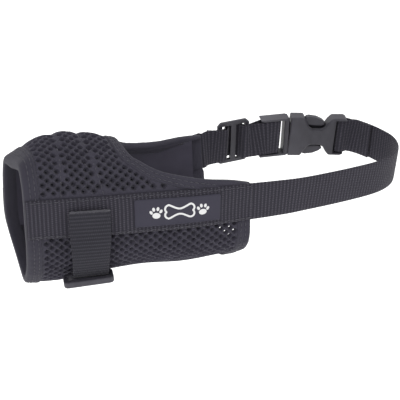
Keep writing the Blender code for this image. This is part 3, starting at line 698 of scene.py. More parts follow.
def perforated(name, fold, x_range, s_range, limits, kept, relief, holed=None, seed=3):
    """Spacer mesh cut to a panel. fold turns (x, s) into (girth, side); limits gives each x's ends of s
    and each s's ends of x; kept chooses cells by their centres; relief lifts the surface."""
    rng = np.random.default_rng(seed)
    outlines, centres, open_cells = [], [], []
    columns = range(int(x_range[0] // HOLE_PITCH) - 1, int(x_range[1] // HOLE_PITCH) + 2)
    rows = range(int(s_range[0] // HOLE_ROW) - 1, int(s_range[1] // HOLE_ROW) + 2)
    for i in columns:
        for j in rows:
            for half in (0, 0.5):
                centre = np.array(((i + half) * HOLE_PITCH, (j + half) * HOLE_ROW))
                if not kept(*centre):
                    continue
                outline = cell_outline(centre)
                clamped = limits(outline)
                moved = np.abs(clamped - outline).max()
                if moved > 0 and polygon_area(clamped) < 0.8:
                    continue
                outlines.append(clamped)
                centres.append(centre if moved == 0 else clamped.mean(axis=0))
                plain = moved > 0.35 or (holed is not None and not holed(*centre))
                open_cells.append(not plain)
    vertices, faces = [], []
    index = {}

    def vertex(x, s, depth, key):
        if key is not None and key in index:
            return index[key]
        vertices.append((x, s, depth))
        if key is not None:
            index[key] = len(vertices) - 1
        return len(vertices) - 1

    def corner(point, level):
        return vertex(point[0], point[1], level, (round(point[0], 3), round(point[1], 3), level))

    rim = {}
    for outline, centre, opened in zip(outlines, centres, open_cells):
        top = [corner(p, 0.0) for p in outline]
        bottom = [corner(p, -MESH_THICKNESS) for p in outline]
        for k in range(RING):
            after = (k + 1) % RING
            if top[k] == top[after]:
                continue
            edge = (top[k], top[after])
            if (edge[1], edge[0]) in rim:
                del rim[(edge[1], edge[0])]
            else:
                rim[edge] = (bottom[k], bottom[after])
        if opened:
            wobble = rng.uniform(-0.12, 0.12, 2)
            size = rng.uniform(0.9, 1.1)
            rings = [top]
            for radius, depth in CELL_RINGS:
                ring = []
                for k in range(RING):
                    towards = outline[k] - centre
                    towards = towards / np.linalg.norm(towards)
                    stretch = radius * size * (1.06 if k % 2 == 0 else 1.0)
                    ring.append(vertex(*(centre + wobble + towards * stretch), depth, None))
                rings.append(ring)
            rings.append(bottom)
            for outer, inner in zip(rings[:-1], rings[1:]):
                for k in range(RING):
                    after = (k + 1) % RING
                    faces.append((outer[k], outer[after], inner[after], inner[k]))
        else:
            for ring, level, flip in ((top, -0.25, False), (bottom, -MESH_THICKNESS, True)):
                middle = vertex(centre[0], centre[1], level, None)
                for k in range(RING):
                    after = (k + 1) % RING
                    if ring[k] == ring[after]:
                        continue
                    face = (ring[k], ring[after], middle)
                    faces.append(tuple(reversed(face)) if flip else face)
    for (a, b), (c, d) in rim.items():
        faces.append((b, a, c, d))
    flat = np.array(vertices)
    girth, side = fold(flat[:, 0], flat[:, 1])
    lift = relief(flat[:, 0], girth)
    crown = np.where(flat[:, 2] == 0.0, 0.1, 0.0)
    points = on_sleeve(flat[:, 0], girth, side, flat[:, 2] + lift + crown)
    clean = [tuple(dict.fromkeys(face)) for face in faces]
    thing = add_mesh(name, points, [f for f in clean if len(f) > 2], "mesh", flat[:, :2], sharp=70)
    return face_out(thing)


def polygon_area(points):
    x, y = points[:, 0], points[:, 1]
    return abs(np.dot(x, np.roll(y, 1)) - np.dot(y, np.roll(x, 1))) / 2


def in_bridge(x, s):
    girth, _ = over_crest(x, s)
    return RIM_WIDTH - 2.5 < x < wing_x(girth) + 2.0 and girth > 8.0


def bridge_limits(points):
    clamped = points.copy()
    clamped[:, 0] = np.maximum(clamped[:, 0], RIM_WIDTH - 0.9)
    crest = np.interp(clamped[:, 0], TABLE_X, CREST)
    low = WEBBING_WIDTH / 2 - 0.6
    clamped[:, 1] = np.clip(clamped[:, 1], low, 2 * crest - low)
    girth, _ = over_crest(clamped[:, 0], clamped[:, 1])
    clamped[:, 0] = np.minimum(clamped[:, 0], wing_x(girth))
    return clamped


def bridge_holed(x, s):
    girth, _ = over_crest(x, s)
    beside = min(abs(x - valley_x(0, girth)), abs(x - valley_x(1, girth)))
    return beside > 1.0


def make_bridge():
    thing = perforated("bridge_quilted_mesh", over_crest, (RIM_WIDTH - 1, 92.0), (8.0, 112.0),
                       bridge_limits, in_bridge, quilt_relief, bridge_holed)
    return finish_piece(thing, "sleeve", "mesh_fabric", "bridge_mesh")


def low_limits(points):
    clamped = points.copy()
    clamped[:, 0] = np.clip(clamped[:, 0], RIM_WIDTH - 0.9, SLEEVE_LENGTH - RIM_WIDTH + 0.9)
    chin = np.interp(clamped[:, 0], TABLE_X, CHIN)
    top = WEBBING_WIDTH / 2 - 0.6
    clamped[:, 1] = np.clip(clamped[:, 1], 2 * chin - top, top)
    return clamped


def flat_relief(x, girth):
    """Soft unevenness of the lower panels."""
    return 0.35 * np.sin(x / 9.0 + girth / 11.0) * np.sin(girth / 7.0) * smooth_step((-11.0 - girth) / 6.0)


def make_low_mesh():
    front, rear = RIM_WIDTH - 2.5, SLEEVE_LENGTH - RIM_WIDTH + 2.5

    def belongs(x, s):
        girth, side = under_chin(x, s)
        if not front < x < rear or girth > WEBBING_WIDTH / 2 + 1:
            return None
        if girth < CHIN_SEAM:
            return "chin"
        return "near" if side == NEAR else "far"

    for part, node in (("near", "side_mesh_near"), ("far", "side_mesh_far"), ("chin", "chin_mesh")):
        thing = perforated(node + "_knit", under_chin, (front, rear), (-120.0, WEBBING_WIDTH / 2 + 2),
                           low_limits, lambda x, s, part=part: belongs(x, s) == part, flat_relief,
                           lambda x, s: under_chin(x, s)[0] < -8.5)
        finish_piece(thing, "sleeve", "mesh_fabric", node)


# ---------------------------------------------------------------- bindings

def tape_profile(width, thickness, rise):
    """Closed outline (across, out) of tape folded over an edge; across runs from the rim inwards."""
    low = -thickness
    return np.array([
        (width + 0.3, rise * 0.1), (width - 0.1, rise * 0.75), (width - 0.7, rise),
        (width * 0.78, rise * 0.6), (width * 0.62, rise * 1.0), (width * 0.45, rise * 0.62),
        (width * 0.3, rise * 1.02), (width * 0.16, rise * 0.85), (0.5, rise * 0.55), (0.1, -0.25),
        (0.0, -thickness * 0.35), (0.0, -thickness * 0.65), (0.15, low - 0.1),
        (0.6, low - rise * 0.8), (width * 0.3, low - rise), (width * 0.62, low - rise),
        (width - 0.6, low - rise), (width + 0.1, low - rise * 0.5), (width + 0.3, low + 0.1),
        (width + 0.3, -thickness / 2)])


def lofted_tape(name, rows, finish, node, closed):
    """rows give (x, girth, side, out) for each profile point; the cloth's coordinates follow."""
    rows = np.asarray(rows, float)
    count, columns = rows.shape[:2]
    points = rows_on_sleeve(rows).reshape(-1, 3)
    middle = rows_on_sleeve(rows[:, 3])
    along = distances(middle)
    ring = points.reshape(count, columns, 3)[0]
    across = distances(ring)
    places = np.stack([np.repeat(along, columns), np.tile(across, count)], axis=1)
    thing = add_mesh(name, points, tube_faces(count, columns, closed), finish, places)
    face_out(thing)
    return finish_piece(thing, "sleeve", "binding_tape", node)


RIM_RISE = 0.85
THREAD_RISE = RIM_RISE * 0.85  # how far out the rims' stitches lie


def wrinkle(at, seed):
    """A slow, uneven rise and fall along sewn tape."""
    rng = np.random.default_rng(seed)
    total = np.zeros(np.shape(at))
    for pitch, size in ((3.1, 0.05), (7.3, 0.06), (17.0, 0.08)):
        total += size * np.sin(2 * math.pi * np.asarray(at) / pitch + rng.uniform(0, 6.28))
    return total


def make_front_tape():
    profile = tape_profile(RIM_WIDTH, MESH_THICKNESS, RIM_RISE)
    rows = []
    steps = 300
    for k in range(steps):
        t = k / steps
        side = NEAR if t < 0.5 else FAR
        level = 2 * t if t < 0.5 else 2 * (1 - t)
        ripple = float(wrinkle(t * 180, 5))
        row = []
        for across, out in profile:
            crest, chin = np.interp(across, TABLE_X, CREST), np.interp(across, TABLE_X, CHIN)
            row.append((max(across, 0.0), crest + (chin - crest) * level, side, out + ripple * (out > 0)))
        rows.append(row)
    return lofted_tape("binding_front_tape", rows, "tape", "binding_front", True)


def edge_place(curve, at, inward):
    """(x, girth) at a share of the top edge's curve, moved into the panel by a distance."""
    moved = inset_curve(curve, inward) if inward else curve
    steps = np.linspace(0, 1, len(curve))
    return np.interp(at, steps, moved[:, 0]), np.interp(at, steps, moved[:, 1])


def edge_levels():
    """Shares of the top edge's curve, evenly spaced along it, that stay above the band."""
    length = distances(EDGE_CURVE)
    usable = length[EDGE_CURVE[:, 1] > WEBBING_WIDTH / 2 - 0.3][-1]
    at = np.linspace(0, usable, 110)
    return np.interp(at, length, np.linspace(0, 1, len(length))), at


def make_edge_tape():
    profile = tape_profile(EDGE_WIDTH + 0.5, MESH_THICKNESS, 0.9)
    shares, lengths = edge_levels()
    near = []
    for share, length in zip(shares, lengths):
        ripple = float(wrinkle(length, 9))
        row = []
        for across, out in profile:
            x, girth = edge_place(EDGE_CURVE, share, across)
            girth = max(girth, WEBBING_WIDTH / 2 - 1.2 + 0.1 * across)
            row.append((x, girth, NEAR, out + ripple * (out > 0)))
        near.append(row)
    far = [[(x, girth, FAR, out) for x, girth, _, out in row] for row in near[1:]]
    return lofted_tape("binding_top_edge_tape", near[::-1] + far, "tape", "binding_top_edge", False)


def make_rear_tape():
    profile = tape_profile(RIM_WIDTH, MESH_THICKNESS, RIM_RISE)
    top = WEBBING_WIDTH / 2 - 0.8
    near = []
    for level in np.linspace(0, 1, 110):
        ripple = float(wrinkle(level * 75, 11))
        row = []
        for across, out in profile:
            x = SLEEVE_LENGTH - across
            chin = float(np.interp(x, TABLE_X, CHIN))
            girth = top + (chin - top) * level
            under_band = 0.35 if girth > -10 else 1
            row.append((x, girth, NEAR, out * under_band + ripple * (out > 0)))
        near.append(row)
    far = [[(x, girth, FAR, out) for x, girth, _, out in row] for row in near[:-1][::-1]]
    return lofted_tape("binding_rear_tape", near + far, "tape", "binding_rear", False)


# ---------------------------------------------------------------- sewing

STITCH_SPACING = 2.9
STITCH_LENGTH = 2.1
STITCH_RADIUS = 0.2


def stitches(name, places, seed):
    """A row of short thread stitches along surface points with their outward directions."""
    points, outward = places
    along = distances(points)
    rng = np.random.default_rng(seed)
    vertices, faces, flat = [], [], []
    rings, sides = 5, 6
    for start in np.arange(0.3, along[-1] - STITCH_LENGTH, STITCH_SPACING):
        span = start + np.linspace(0, 1, rings) * STITCH_LENGTH
        centre = np.stack([np.interp(span, along, points[:, k]) for k in range(3)], axis=1)
        out = unit(np.stack([np.interp(span, along, outward[:, k]) for k in range(3)], axis=1))
        direction = unit(np.gradient(centre, axis=0))
        across = np.cross(direction, out)
        base = len(vertices)
        lean = rng.uniform(-0.12, 0.12)
        for r in range(rings):
            t = r / (rings - 1)
            thick = STITCH_RADIUS * (0.45 + 0.55 * math.sin(math.pi * t))
            lift = -0.12 + 0.24 * math.sin(math.pi * t)
            middle = centre[r] + out[r] * lift + across[r] * lean * (t - 0.5)
            for k in range(sides):
                angle = 2 * math.pi * k / sides
                vertices.append(middle + across[r] * thick * math.cos(angle)
                                + out[r] * thick * math.sin(angle))
                flat.append((start + t * STITCH_LENGTH, k * 0.2))
        faces += thread_faces(base, rings, sides)
    thing = add_mesh(name, vertices, faces, "thread", flat)
    return finish_piece(face_out(thing), "sleeve", "binding_tape")


def along_surface(x, girth, side, out):
    """Surface points and outward directions for a row of stitches."""
    base = on_sleeve(x, girth, side, np.asarray(out, float))
    raised = on_sleeve(x, girth, side, np.asarray(out, float) + 1.0)
    return base, raised - base


def make_stitching():
    levels = np.linspace(0, 1, 160)
    for row, across in enumerate((RIM_WIDTH * 0.45, RIM_WIDTH * 0.78)):
        crest, chin = np.interp(across, TABLE_X, CREST), np.interp(across, TABLE_X, CHIN)
        both = np.r_[levels, levels[::-1]]
        sides = np.r_[np.full(len(levels), NEAR), np.full(len(levels), FAR)]
        girths = crest + (chin - crest) * both
        places = along_surface(np.full(len(both), across), girths, sides, THREAD_RISE)
        stitches(f"stitches_front_rim_{row}", places, seed=row)
        x = SLEEVE_LENGTH - across
        chin = float(np.interp(x, TABLE_X, CHIN))
        low = -WEBBING_WIDTH / 2 - 1
        girths = low + (chin - low) * both
        places = along_surface(np.full(len(both), x), girths, sides, THREAD_RISE)
        stitches(f"stitches_rear_rim_{row}", places, seed=row + 4)
    shares, _ = edge_levels()
    for row, across in enumerate((EDGE_WIDTH * 0.48, EDGE_WIDTH * 0.86)):
        x, girth = edge_place(EDGE_CURVE, shares, across)
        keep = girth > WEBBING_WIDTH / 2 + 1
        x, girth = x[keep], girth[keep]
        both_x, both_g = np.r_[x[::-1], x[1:]], np.r_[girth[::-1], girth[1:]]
        sides = np.r_[np.full(len(x), NEAR), np.full(len(x) - 1, FAR)]
        stitches(f"stitches_top_edge_{row}", along_surface(both_x, both_g, sides, 0.78), seed=row + 8)
    for word, side in (("near", NEAR), ("far", FAR)):
        for row, girth in enumerate((-WEBBING_WIDTH / 2 + 1.3, WEBBING_WIDTH / 2 - 1.3)):
            x = np.linspace(2.0, SLEEVE_LENGTH - 1, 220)
            stitches(f"stitches_band_{word}_{row}",
                     along_surface(x, np.full(220, girth), side, GAP + BAND_THICKNESS + 0.1), seed=row + 12)
    for row in range(2):
        girth = np.linspace(WEBBING_WIDTH / 2 + 0.5, 50.0, 90)
        x = valley_x(row, girth)
        keep = girth < np.interp(x, TABLE_X, CREST) - 0.3
        x, girth = x[keep], girth[keep]
        both_x, both_g = np.r_[x, x[::-1]], np.r_[girth, girth[::-1]]
        sides = np.r_[np.full(len(x), NEAR), np.full(len(x), FAR)]
        out = np.r_[quilt_relief(x, girth), quilt_relief(x, girth)[::-1]] + 0.15
        stitches(f"stitches_quilt_{row}", along_surface(both_x, both_g, sides, out), seed=row + 20)


# ---------------------------------------------------------------- woven webbing

RIB_PITCH = 1.9
RIB_HEIGHT = 0.07
STEP_ALONG = 0.38
FACE_COLUMNS = 15
SELVEDGE = 0.25                # width of the rounded edge
SELVEDGE_THIN = 0.35           # share of the thickness lost towards it
RIB_EVEN = 9                   # rows on each side over which the width's direction is evened out


def running_mean(rows, reach):
    """Each row averaged with its neighbours, so that the ribs turn evenly along the webbing."""
    wide = np.pad(rows, ((reach, reach), (0, 0)), mode="edge")
    return np.mean([wide[k:k + len(rows)] for k in range(2 * reach + 1)], axis=0)


def selvedge_profile():
    """Share of the thickness that is left across the width."""
    return 1 - np.power(np.abs(np.linspace(-1, 1, FACE_COLUMNS)), 10) * SELVEDGE_THIN


def woven_section(width, thickness):
    """Closed outline (across, out) of webbing with rounded selvedges; flags mark its two faces."""
    columns = FACE_COLUMNS
    across = np.linspace(-1, 1, columns) * (width / 2 - SELVEDGE)
    edge = selvedge_profile()
    top = [(a, thickness / 2 * e) for a, e in zip(across, edge)]
    rim = [(width / 2, thickness * 0.22), (width / 2, -thickness * 0.22)]
    bottom = [(a, -o) for a, o in reversed(top)]
    other = [(-a, -o) for a, o in rim]
    outline = np.array(top + rim + bottom + other)
    flags = np.array([1] * columns + [0, 0] + [-1] * columns + [0, 0])
    return outline, flags


def woven(name, centres, up, width, thickness, finish):
    """Woven webbing along a path; up is the width's direction at each point of the path."""
    centres = np.asarray(centres, float)
    up = np.broadcast_to(np.asarray(up, float), centres.shape)
    widths = np.broadcast_to(np.asarray(width, float), len(centres))
    both = np.hstack([centres, up, widths[:, None]])
    fine, at = resample(both, STEP_ALONG)
    path, up, share = fine[:, :3], fine[:, 3:6], fine[:, 6] / fine[:, 6].max()
    width = float(fine[:, 6].max())
    along = unit(np.gradient(path, axis=0))
    across = unit(running_mean(square_to(up, along), RIB_EVEN))
    normal = unit(np.cross(along, across))
    outline, flags = woven_section(width, thickness)
    columns = len(outline)
    ribs = RIB_HEIGHT * (np.cos(2 * math.pi * at / RIB_PITCH) - 1) / 2
    points = np.zeros((len(path), columns, 3))
    for j, ((a, o), flag) in enumerate(zip(outline, flags)):
        out = o + flag * ribs
        swell = 0.004 * np.cos(2 * math.pi * at / RIB_PITCH) if flag == 0 else np.zeros(len(path))
        wide = a * (1 + swell)
        points[:, j] = path + across * (wide * share)[:, None] + normal * np.reshape(out, (-1, 1))
    places = np.stack([np.repeat(at, columns), np.tile(outline[:, 0], len(path))], axis=1)
    thing = add_mesh(name, points.reshape(-1, 3), tube_faces(len(path), columns), finish, places)
    return face_out(thing)


def woven_on_sleeve(name, xs, side, low, high, inner, outer, finish, relief=True):
    """Woven webbing lying on the sleeve between two girths."""
    columns = FACE_COLUMNS
    girths = np.linspace(low, high, columns)
    edge = selvedge_profile()
    ribs = RIB_HEIGHT * (np.cos(2 * math.pi * xs / RIB_PITCH) - 1) / 2 if relief else np.zeros(len(xs))
    middle = (inner + outer) / 2
    rows = np.zeros((len(xs), 2 * columns, 4))
    for j in range(columns):
        rows[:, j] = np.stack([xs, np.full(len(xs), girths[j]), np.full(len(xs), side),
                               middle + (outer - middle) * edge[j] + ribs], axis=1)
        rows[:, 2 * columns - 1 - j] = np.stack([xs, np.full(len(xs), girths[j]), np.full(len(xs), side),
                                                 np.full(len(xs), middle - (middle - inner) * edge[j])], axis=1)
    points = rows_on_sleeve(rows).reshape(-1, 3)
    places = rows[..., :2].reshape(-1, 2)
    thing = add_mesh(name, points, tube_faces(len(xs), 2 * columns), finish, places)
    return face_out(thing)


def make_bands():
    half = WEBBING_WIDTH / 2
    xs = np.arange(0.3, SLEEVE_LENGTH + 0.01, STEP_ALONG)
    for word, side in (("near", NEAR), ("far", FAR)):
        thing = woven_on_sleeve(f"side_band_{word}_woven", xs, side, -half, half, GAP - 0.3,
                                GAP + BAND_THICKNESS, "webbing")
        finish_piece(thing, "sleeve", "webbing", "side_band_" + word)


# ---------------------------------------------------------------- lining

def make_linings():
    """Smooth lining inside each wing, from below the band up to the tape of the top edge."""
    outer = -MESH_THICKNESS - 0.12
    for word, side in (("near", NEAR), ("far", FAR)):
        xs = np.linspace(RIM_WIDTH - 0.5, SLEEVE_LENGTH - RIM_WIDTH + 0.5, 120)
        levels = np.linspace(0, 1, 26)
        top = np.interp(xs, PANEL_EDGE[:, 0], PANEL_EDGE[:, 1], left=27.0)
        top = np.clip(top, WEBBING_WIDTH / 2 - 0.5, 27.0)
        rows = []
        for x, high in zip(xs, top):
            girths = LINING_LOW + (high - LINING_LOW) * levels
            sag = 0.12 * np.sin(x / 6.0) + 0.1 * np.sin(girths / 3.7 + x / 15)
            upper = [(x, g, side, outer + 0.1 * s) for g, s in zip(girths, sag)]
            lower = [(x, g, side, outer - LINING_THICKNESS + s) for g, s in zip(girths, sag)]
            rows.append(upper + lower[::-1])
        rows = np.array(rows)
        points = rows_on_sleeve(rows).reshape(-1, 3)
        thing = add_mesh(f"lining_{word}_tricot", points, tube_faces(len(xs), rows.shape[1]), "lining",
                         rows[..., :2].reshape(-1, 2), sharp=60)
        face_out(thing)
        finish_piece(thing, "sleeve", "lining_fabric", "lining_" + word)


# ---------------------------------------------------------------- label

def make_label():
    """Rubber patch with a low rim, on the near band."""
    base = GAP + BAND_THICKNESS
    centre = np.array((LABEL_START + LABEL_LENGTH / 2, 0.0))
    columns = np.linspace(-1, 1, 60)
    rows = np.linspace(-1, 1, 24)
    half_x, half_y, corner = LABEL_LENGTH / 2, LABEL_HEIGHT / 2, 1.2
    vertices, flat = [], []
    for out_level in (1, 0):
        for u in columns:
            for v in rows:
                x, y = u * half_x, v * half_y
                over_x, over_y = abs(x) - (half_x - corner), abs(y) - (half_y - corner)
                if over_x > 0 and over_y > 0:
                    reach = math.hypot(over_x, over_y)
                    if reach > corner:
                        x = math.copysign(half_x - corner + over_x * corner / reach, x)
                        y = math.copysign(half_y - corner + over_y * corner / reach, y)
                inside = min(half_x - abs(x), half_y - abs(y))
                rim = 0.0 if inside > 0.9 else 0.18 * math.sin(math.pi * min(inside, 0.9) / 0.9)
                drop = 0.35 * max(0.0, 1 - inside / 0.3)
                out = base + (LABEL_THICKNESS - drop + rim if out_level else 0.0)
                vertices.append((x + centre[0], y + centre[1], out))
                flat.append((x, y))
    vertices = np.array(vertices)
    points = on_sleeve(vertices[:, 0], vertices[:, 1], NEAR, vertices[:, 2])
    nu, nv = len(columns), len(rows)
    layer = nu * nv
    faces = []
    for i in range(nu - 1):
        for j in range(nv - 1):
            a = i * nv + j
            quad = (a, a + 1, a + nv + 1, a + nv)
            faces.append(quad)
            faces.append(tuple(layer + k for k in reversed(quad)))
    border = [i * nv for i in range(nu)] + [(nu - 1) * nv + j for j in range(1, nv)]
    border += [i * nv + nv - 1 for i in range(nu - 2, -1, -1)] + [j for j in range(nv - 2, 0, -1)]
    for k, a in enumerate(border):
        b = border[(k + 1) % len(border)]
        faces.append((a, b, layer + b, layer + a))
    thing = add_mesh("label_patch_rubber", points, faces, "rubber", flat, sharp=50)
    finish_piece(face_out(thing), "sleeve", "label_rubber", "label_patch")
    make_mark(base + LABEL_THICKNESS)


def stroke(path, width):
    """Left and right edges of a closed line of even width."""
    points, _ = resample(np.vstack([path, path[:1]]), 0.35)
    points = points[:-1]
    along = unit(np.roll(points, -1, axis=0) - np.roll(points, 1, axis=0))
    side = np.stack([-along[:, 1], along[:, 0]], axis=1)
    return points + side * width / 2, points - side * width / 2


def bone_outline(length, bulb, waist):
    """A cartoon bone lying along x."""
    points = []
    for sx, sy in ((1, -1), (1, 1), (-1, 1), (-1, -1)):
        centre = np.array((sx * (length / 2 - bulb), sy * bulb * 0.78))
        first = {(1, -1): -100, (1, 1): -50, (-1, 1): 80, (-1, -1): 130}[sx, sy]
        start, end = first, first + 150
        for angle in np.radians(np.linspace(start, end, 7)):
            points.append(centre + bulb * np.array((math.cos(angle), math.sin(angle))))
        if sy * sx > 0:
            points.append((0.0, sy * waist))
    return np.array(points)


def make_mark(base):
    """Generic decoration in pale rubber: a bone between two paw prints."""
    centre = np.array((LABEL_START + LABEL_LENGTH / 2 + 0.5, 0.2))
    vertices, faces = [], []

    def disc(middle, radii, turn=0.0):
        start = len(vertices)
        angles = np.linspace(0, 2 * math.pi, 17)[:-1]
        for shrink, out in ((1.0, 0.0), (1.0, 0.16), (0.85, 0.26), (0.45, 0.3)):
            for angle in angles:
                x, y = radii[0] * shrink * math.cos(angle), radii[1] * shrink * math.sin(angle)
                vertices.append((middle[0] + x * math.cos(turn) - y * math.sin(turn),
                                 middle[1] + x * math.sin(turn) + y * math.cos(turn), out))
        for ring in range(3):
            for k in range(16):
                a, b = start + ring * 16 + k, start + ring * 16 + (k + 1) % 16
                faces.append((a, b, b + 16, a + 16))
        faces.append(tuple(start + 48 + k for k in range(16)))
        faces.append(tuple(start + k for k in reversed(range(16))))

    for offset, lean in ((-11.6, -0.25), (11.6, 0.25)):
        disc((offset, -1.5), (2.0, 1.5), lean * 0.3)
        for k, angle in enumerate((-0.95, -0.33, 0.33, 0.95)):
            reach = 3.25 if k in (1, 2) else 2.95
            turned = angle + lean * 0.3
            place = (offset + reach * math.sin(turned), -1.3 + reach * math.cos(turned))
            disc(place, (0.72, 1.02), -angle * 0.6)
    left, right = stroke(bone_outline(14.6, 1.9, 1.35), 0.95)
    start, count = len(vertices), len(left)
    for blend_in, out in ((0.0, 0.0), (0.0, 0.16), (0.25, 0.28)):
        for a, b in zip(left, right):
            vertices.append((*(a + (b - a) * blend_in), out))
    for blend_in, out in ((0.75, 0.28), (1.0, 0.16), (1.0, 0.0)):
        for a, b in zip(left, right):
            vertices.append((*(a + (b - a) * blend_in), out))
    for ring in range(6):
        after = (ring + 1) % 6
        for k in range(count):
            a, b = start + ring * count + k, start + ring * count + (k + 1) % count
            c, d = start + after * count + (k + 1) % count, start + after * count + k
            faces.append((a, b, c, d))
    flat = np.array(vertices)
    points = on_sleeve(flat[:, 0] + centre[0], flat[:, 1] + centre[1], NEAR, flat[:, 2] + base - 0.06)
    thing = add_mesh("label_mark_bone_and_paws", points, faces, "mark", flat[:, :2], sharp=60)
    return finish_piece(face_out(thing), "sleeve", "label_rubber")


# ---------------------------------------------------------------- frames of the hardware

def loop_frame(start, direction):
    """Axes of a piece on the neck loop: x along the webbing, y out of the loop, z up its width."""
    along = direction.normalized()
    lean = Vector((0, -math.sin(LOOP_LEAN), math.cos(LOOP_LEAN)))
    outwards = lean.cross(along).normalized()
    upwards = along.cross(outwards)
    turned = Matrix((along, outwards, upwards)).transposed().to_4x4()
    return Matrix.Translation(start * MM) @ turned


BUCKLE = loop_frame(BUCKLE_START, BUCKLE_DIRECTION)
MALE = loop_frame(MALE_START, MALE_DIRECTION)
SLIDER = loop_frame(SLIDER_CENTRE, SLIDER_DIRECTION)


def in_frame(axes, x, y, z=0.0):
    """World millimetres of a point given in a frame's own millimetres."""
    return np.array((axes @ (Vector((x, y, z)) * MM)) / MM)


def sleeve_point(x, girth, side, out):
    return Vector(sleeve_row(x, np.array([girth]), side, out)[0])


def cinch_frame():
    """Axes of the cinch strap on the near side: x along the band, y out of the sleeve, z up."""
    step = 10.0
    ahead = sleeve_point(CINCH_CENTRE - step, 0.0, NEAR, 0.0)
    along = sleeve_point(CINCH_CENTRE + step, 0.0, NEAR, 0.0) - ahead
    along.z = 0
    along.normalize()
    up = Vector((0, 0, 1))
    centre = sleeve_point(CINCH_CENTRE, 0.0, NEAR, 0.0)
    centre.z = 0
    turned = Matrix((along, along.cross(up), up)).transposed().to_4x4()
    return Matrix.Translation(centre * MM) @ turned


CINCH = cinch_frame()
CINCH_ALONG = np.array(CINCH.to_3x3() @ Vector((1, 0, 0)))
LOOP_RADIUS = RING_BAR / 2 + 0.25 + GAP + WEBBING_THICKNESS / 2
TURN_RADIUS = LOOP_RADIUS + WEBBING_THICKNESS + 1.5 * GAP
BAND_TOP = GAP + BAND_THICKNESS


def arc(centre, radius, start, end, count):
    """Points on an arc in a plane, angles in degrees."""
    angles = np.radians(np.linspace(start, end, count))
    return [(centre[0] + radius * math.cos(a), centre[1] + radius * math.sin(a)) for a in angles]


def cinch_points(places):
    return [in_frame(CINCH, 0, out, z) for out, z in places]


def cinch_across(height):
    """Width direction of the cinch webbing: level at the band and tilted with the ring below."""
    tilt = RING_TILT * smooth_step((-10.0 - height) / 14.0)
    return math.cos(tilt) * CINCH_ALONG + math.sin(tilt) * np.array((0, 0, 1.0))


def gather(height):
    """Share of its width that the cinch webbing keeps where it is drawn together at the ring."""
    return 1 - RING_GATHER * smooth_step((-8.0 - height) / 18.0)


def cinch_webbing(name, places, width, finish):
    across = np.array([cinch_across(height) for _, height in places])
    widths = [width * gather(height) for _, height in places]
    return woven(name, cinch_points(places), across, widths, WEBBING_THICKNESS, finish)


def chin_places(fractions, side, limit, out):
    """Middle and width direction of a strap laid on the sleeve, between the chin line and a limit."""
    half = CINCH_WIDTH / 2
    places = []
    for fraction in fractions:
        edges = []
        for x in (CINCH_CENTRE - half, CINCH_CENTRE + half):
            low = chin_girth(x)
            edges.append(np.array(sleeve_point(x, low + (limit - low) * fraction, side, out)))
        places.append(((edges[0] + edges[1]) / 2, edges[1] - edges[0]))
    return places


def make_cinch():
    """The ring's loop, the peeling flap and the strap under the chin."""
    top = BAND_TOP + GAP + WEBBING_THICKNESS / 2
    down = smooth_curve([(top, 0.0), (top, -6.0), (top - 0.1, -12.0), (0.1, -20.0), (-3.3, -27.5),
                         (-5.3, -32.0)], 3)
    turn = arc(RING_INNER, LOOP_RADIUS, 0, -150, 9)
    thing = cinch_webbing("ring_loop_webbing", list(down) + turn, CINCH_WIDTH - 1.0, "webbing")
    finish_piece(thing, "sleeve", "webbing", "ring_loop")

    over = BAND_TOP + 2 * GAP + 1.5 * WEBBING_THICKNESS + 0.15
    start = RING_INNER[0] + TURN_RADIUS
    places = smooth_curve([(start, HINGE_HEIGHT), (-0.6, -27.5), (2.3, -20.5), (over - 0.2, -13.0),
                           (over, -6.0), (over, CINCH_TOP)], 3)
    thing = cinch_webbing("cinch_flap_webbing", places, CINCH_WIDTH, "flap")
    finish_piece(thing, "cinch_flap", "hook_and_loop", "cinch_flap")
    make_melted_end(in_frame(CINCH, 0, over, CINCH_TOP))

    out = GAP + WEBBING_THICKNESS / 2 + 0.3
    turn = arc(RING_INNER, TURN_RADIUS, TURN_START, -80, 7)
    places = [(point, cinch_across(RING_INNER[1])) for point in cinch_points(turn)]
    places += chin_places(np.linspace(0.15, 0.04, 4), NEAR, -WEBBING_WIDTH / 2, out)
    places += chin_places(np.linspace(0.0, 1.0, 15), FAR, -WEBBING_WIDTH / 2 - 1.2, out)
    path = np.array([place for place, _ in places])
    up = np.array([across / np.linalg.norm(across) for _, across in places])
    spread = np.clip((np.arange(len(path)) - len(turn)) / 6.0, 0, 1)
    widths = (CINCH_WIDTH - 0.4) * (1 - RING_GATHER * (1 - spread))
    thing = woven("cinch_strap_webbing", path, up, widths, WEBBING_THICKNESS, "flap")
    finish_piece(thing, "sleeve", "webbing", "cinch_strap")


def make_melted_end(centre):
    """The heat-sealed bead along the flap's cut end."""
    along = CINCH_ALONG * CINCH_WIDTH / 2
    out = np.array(CINCH.to_3x3() @ Vector((0, 1, 0)))
    up = np.array((0, 0, 1.0))
    rings, sides = 40, 10
    vertices, flat = [], []
    for r, t in enumerate(np.linspace(-1, 1, rings)):
        swell = 1 + 0.1 * math.sin(r * 1.7) + 0.06 * math.sin(r * 0.6)
        close = math.sqrt(max(0.05, 1 - abs(t) ** 16))
        for k in range(sides):
            angle = 2 * math.pi * k / sides
            reach = 0.62 * swell * close
            vertices.append(centre + along * t + out * reach * math.cos(angle)
                            + up * 0.8 * reach * math.sin(angle))
            flat.append((t * CINCH_WIDTH / 2, k * 0.3))
    faces = tube_faces(rings, sides)
    thing = add_mesh("cinch_flap_sealed_end", vertices, faces, "sealed", flat)
    finish_piece(face_out(thing), "cinch_flap", "hook_and_loop")


# ---------------------------------------------------------------- neck strap

def weave_offset(x, inner, lift, start, end):
    """Offset of a strand woven through the slider: out past the middle bar, in past the end bars."""
    return inner + lift * (1 - smooth_step((abs(x) - start) / (end - start)))


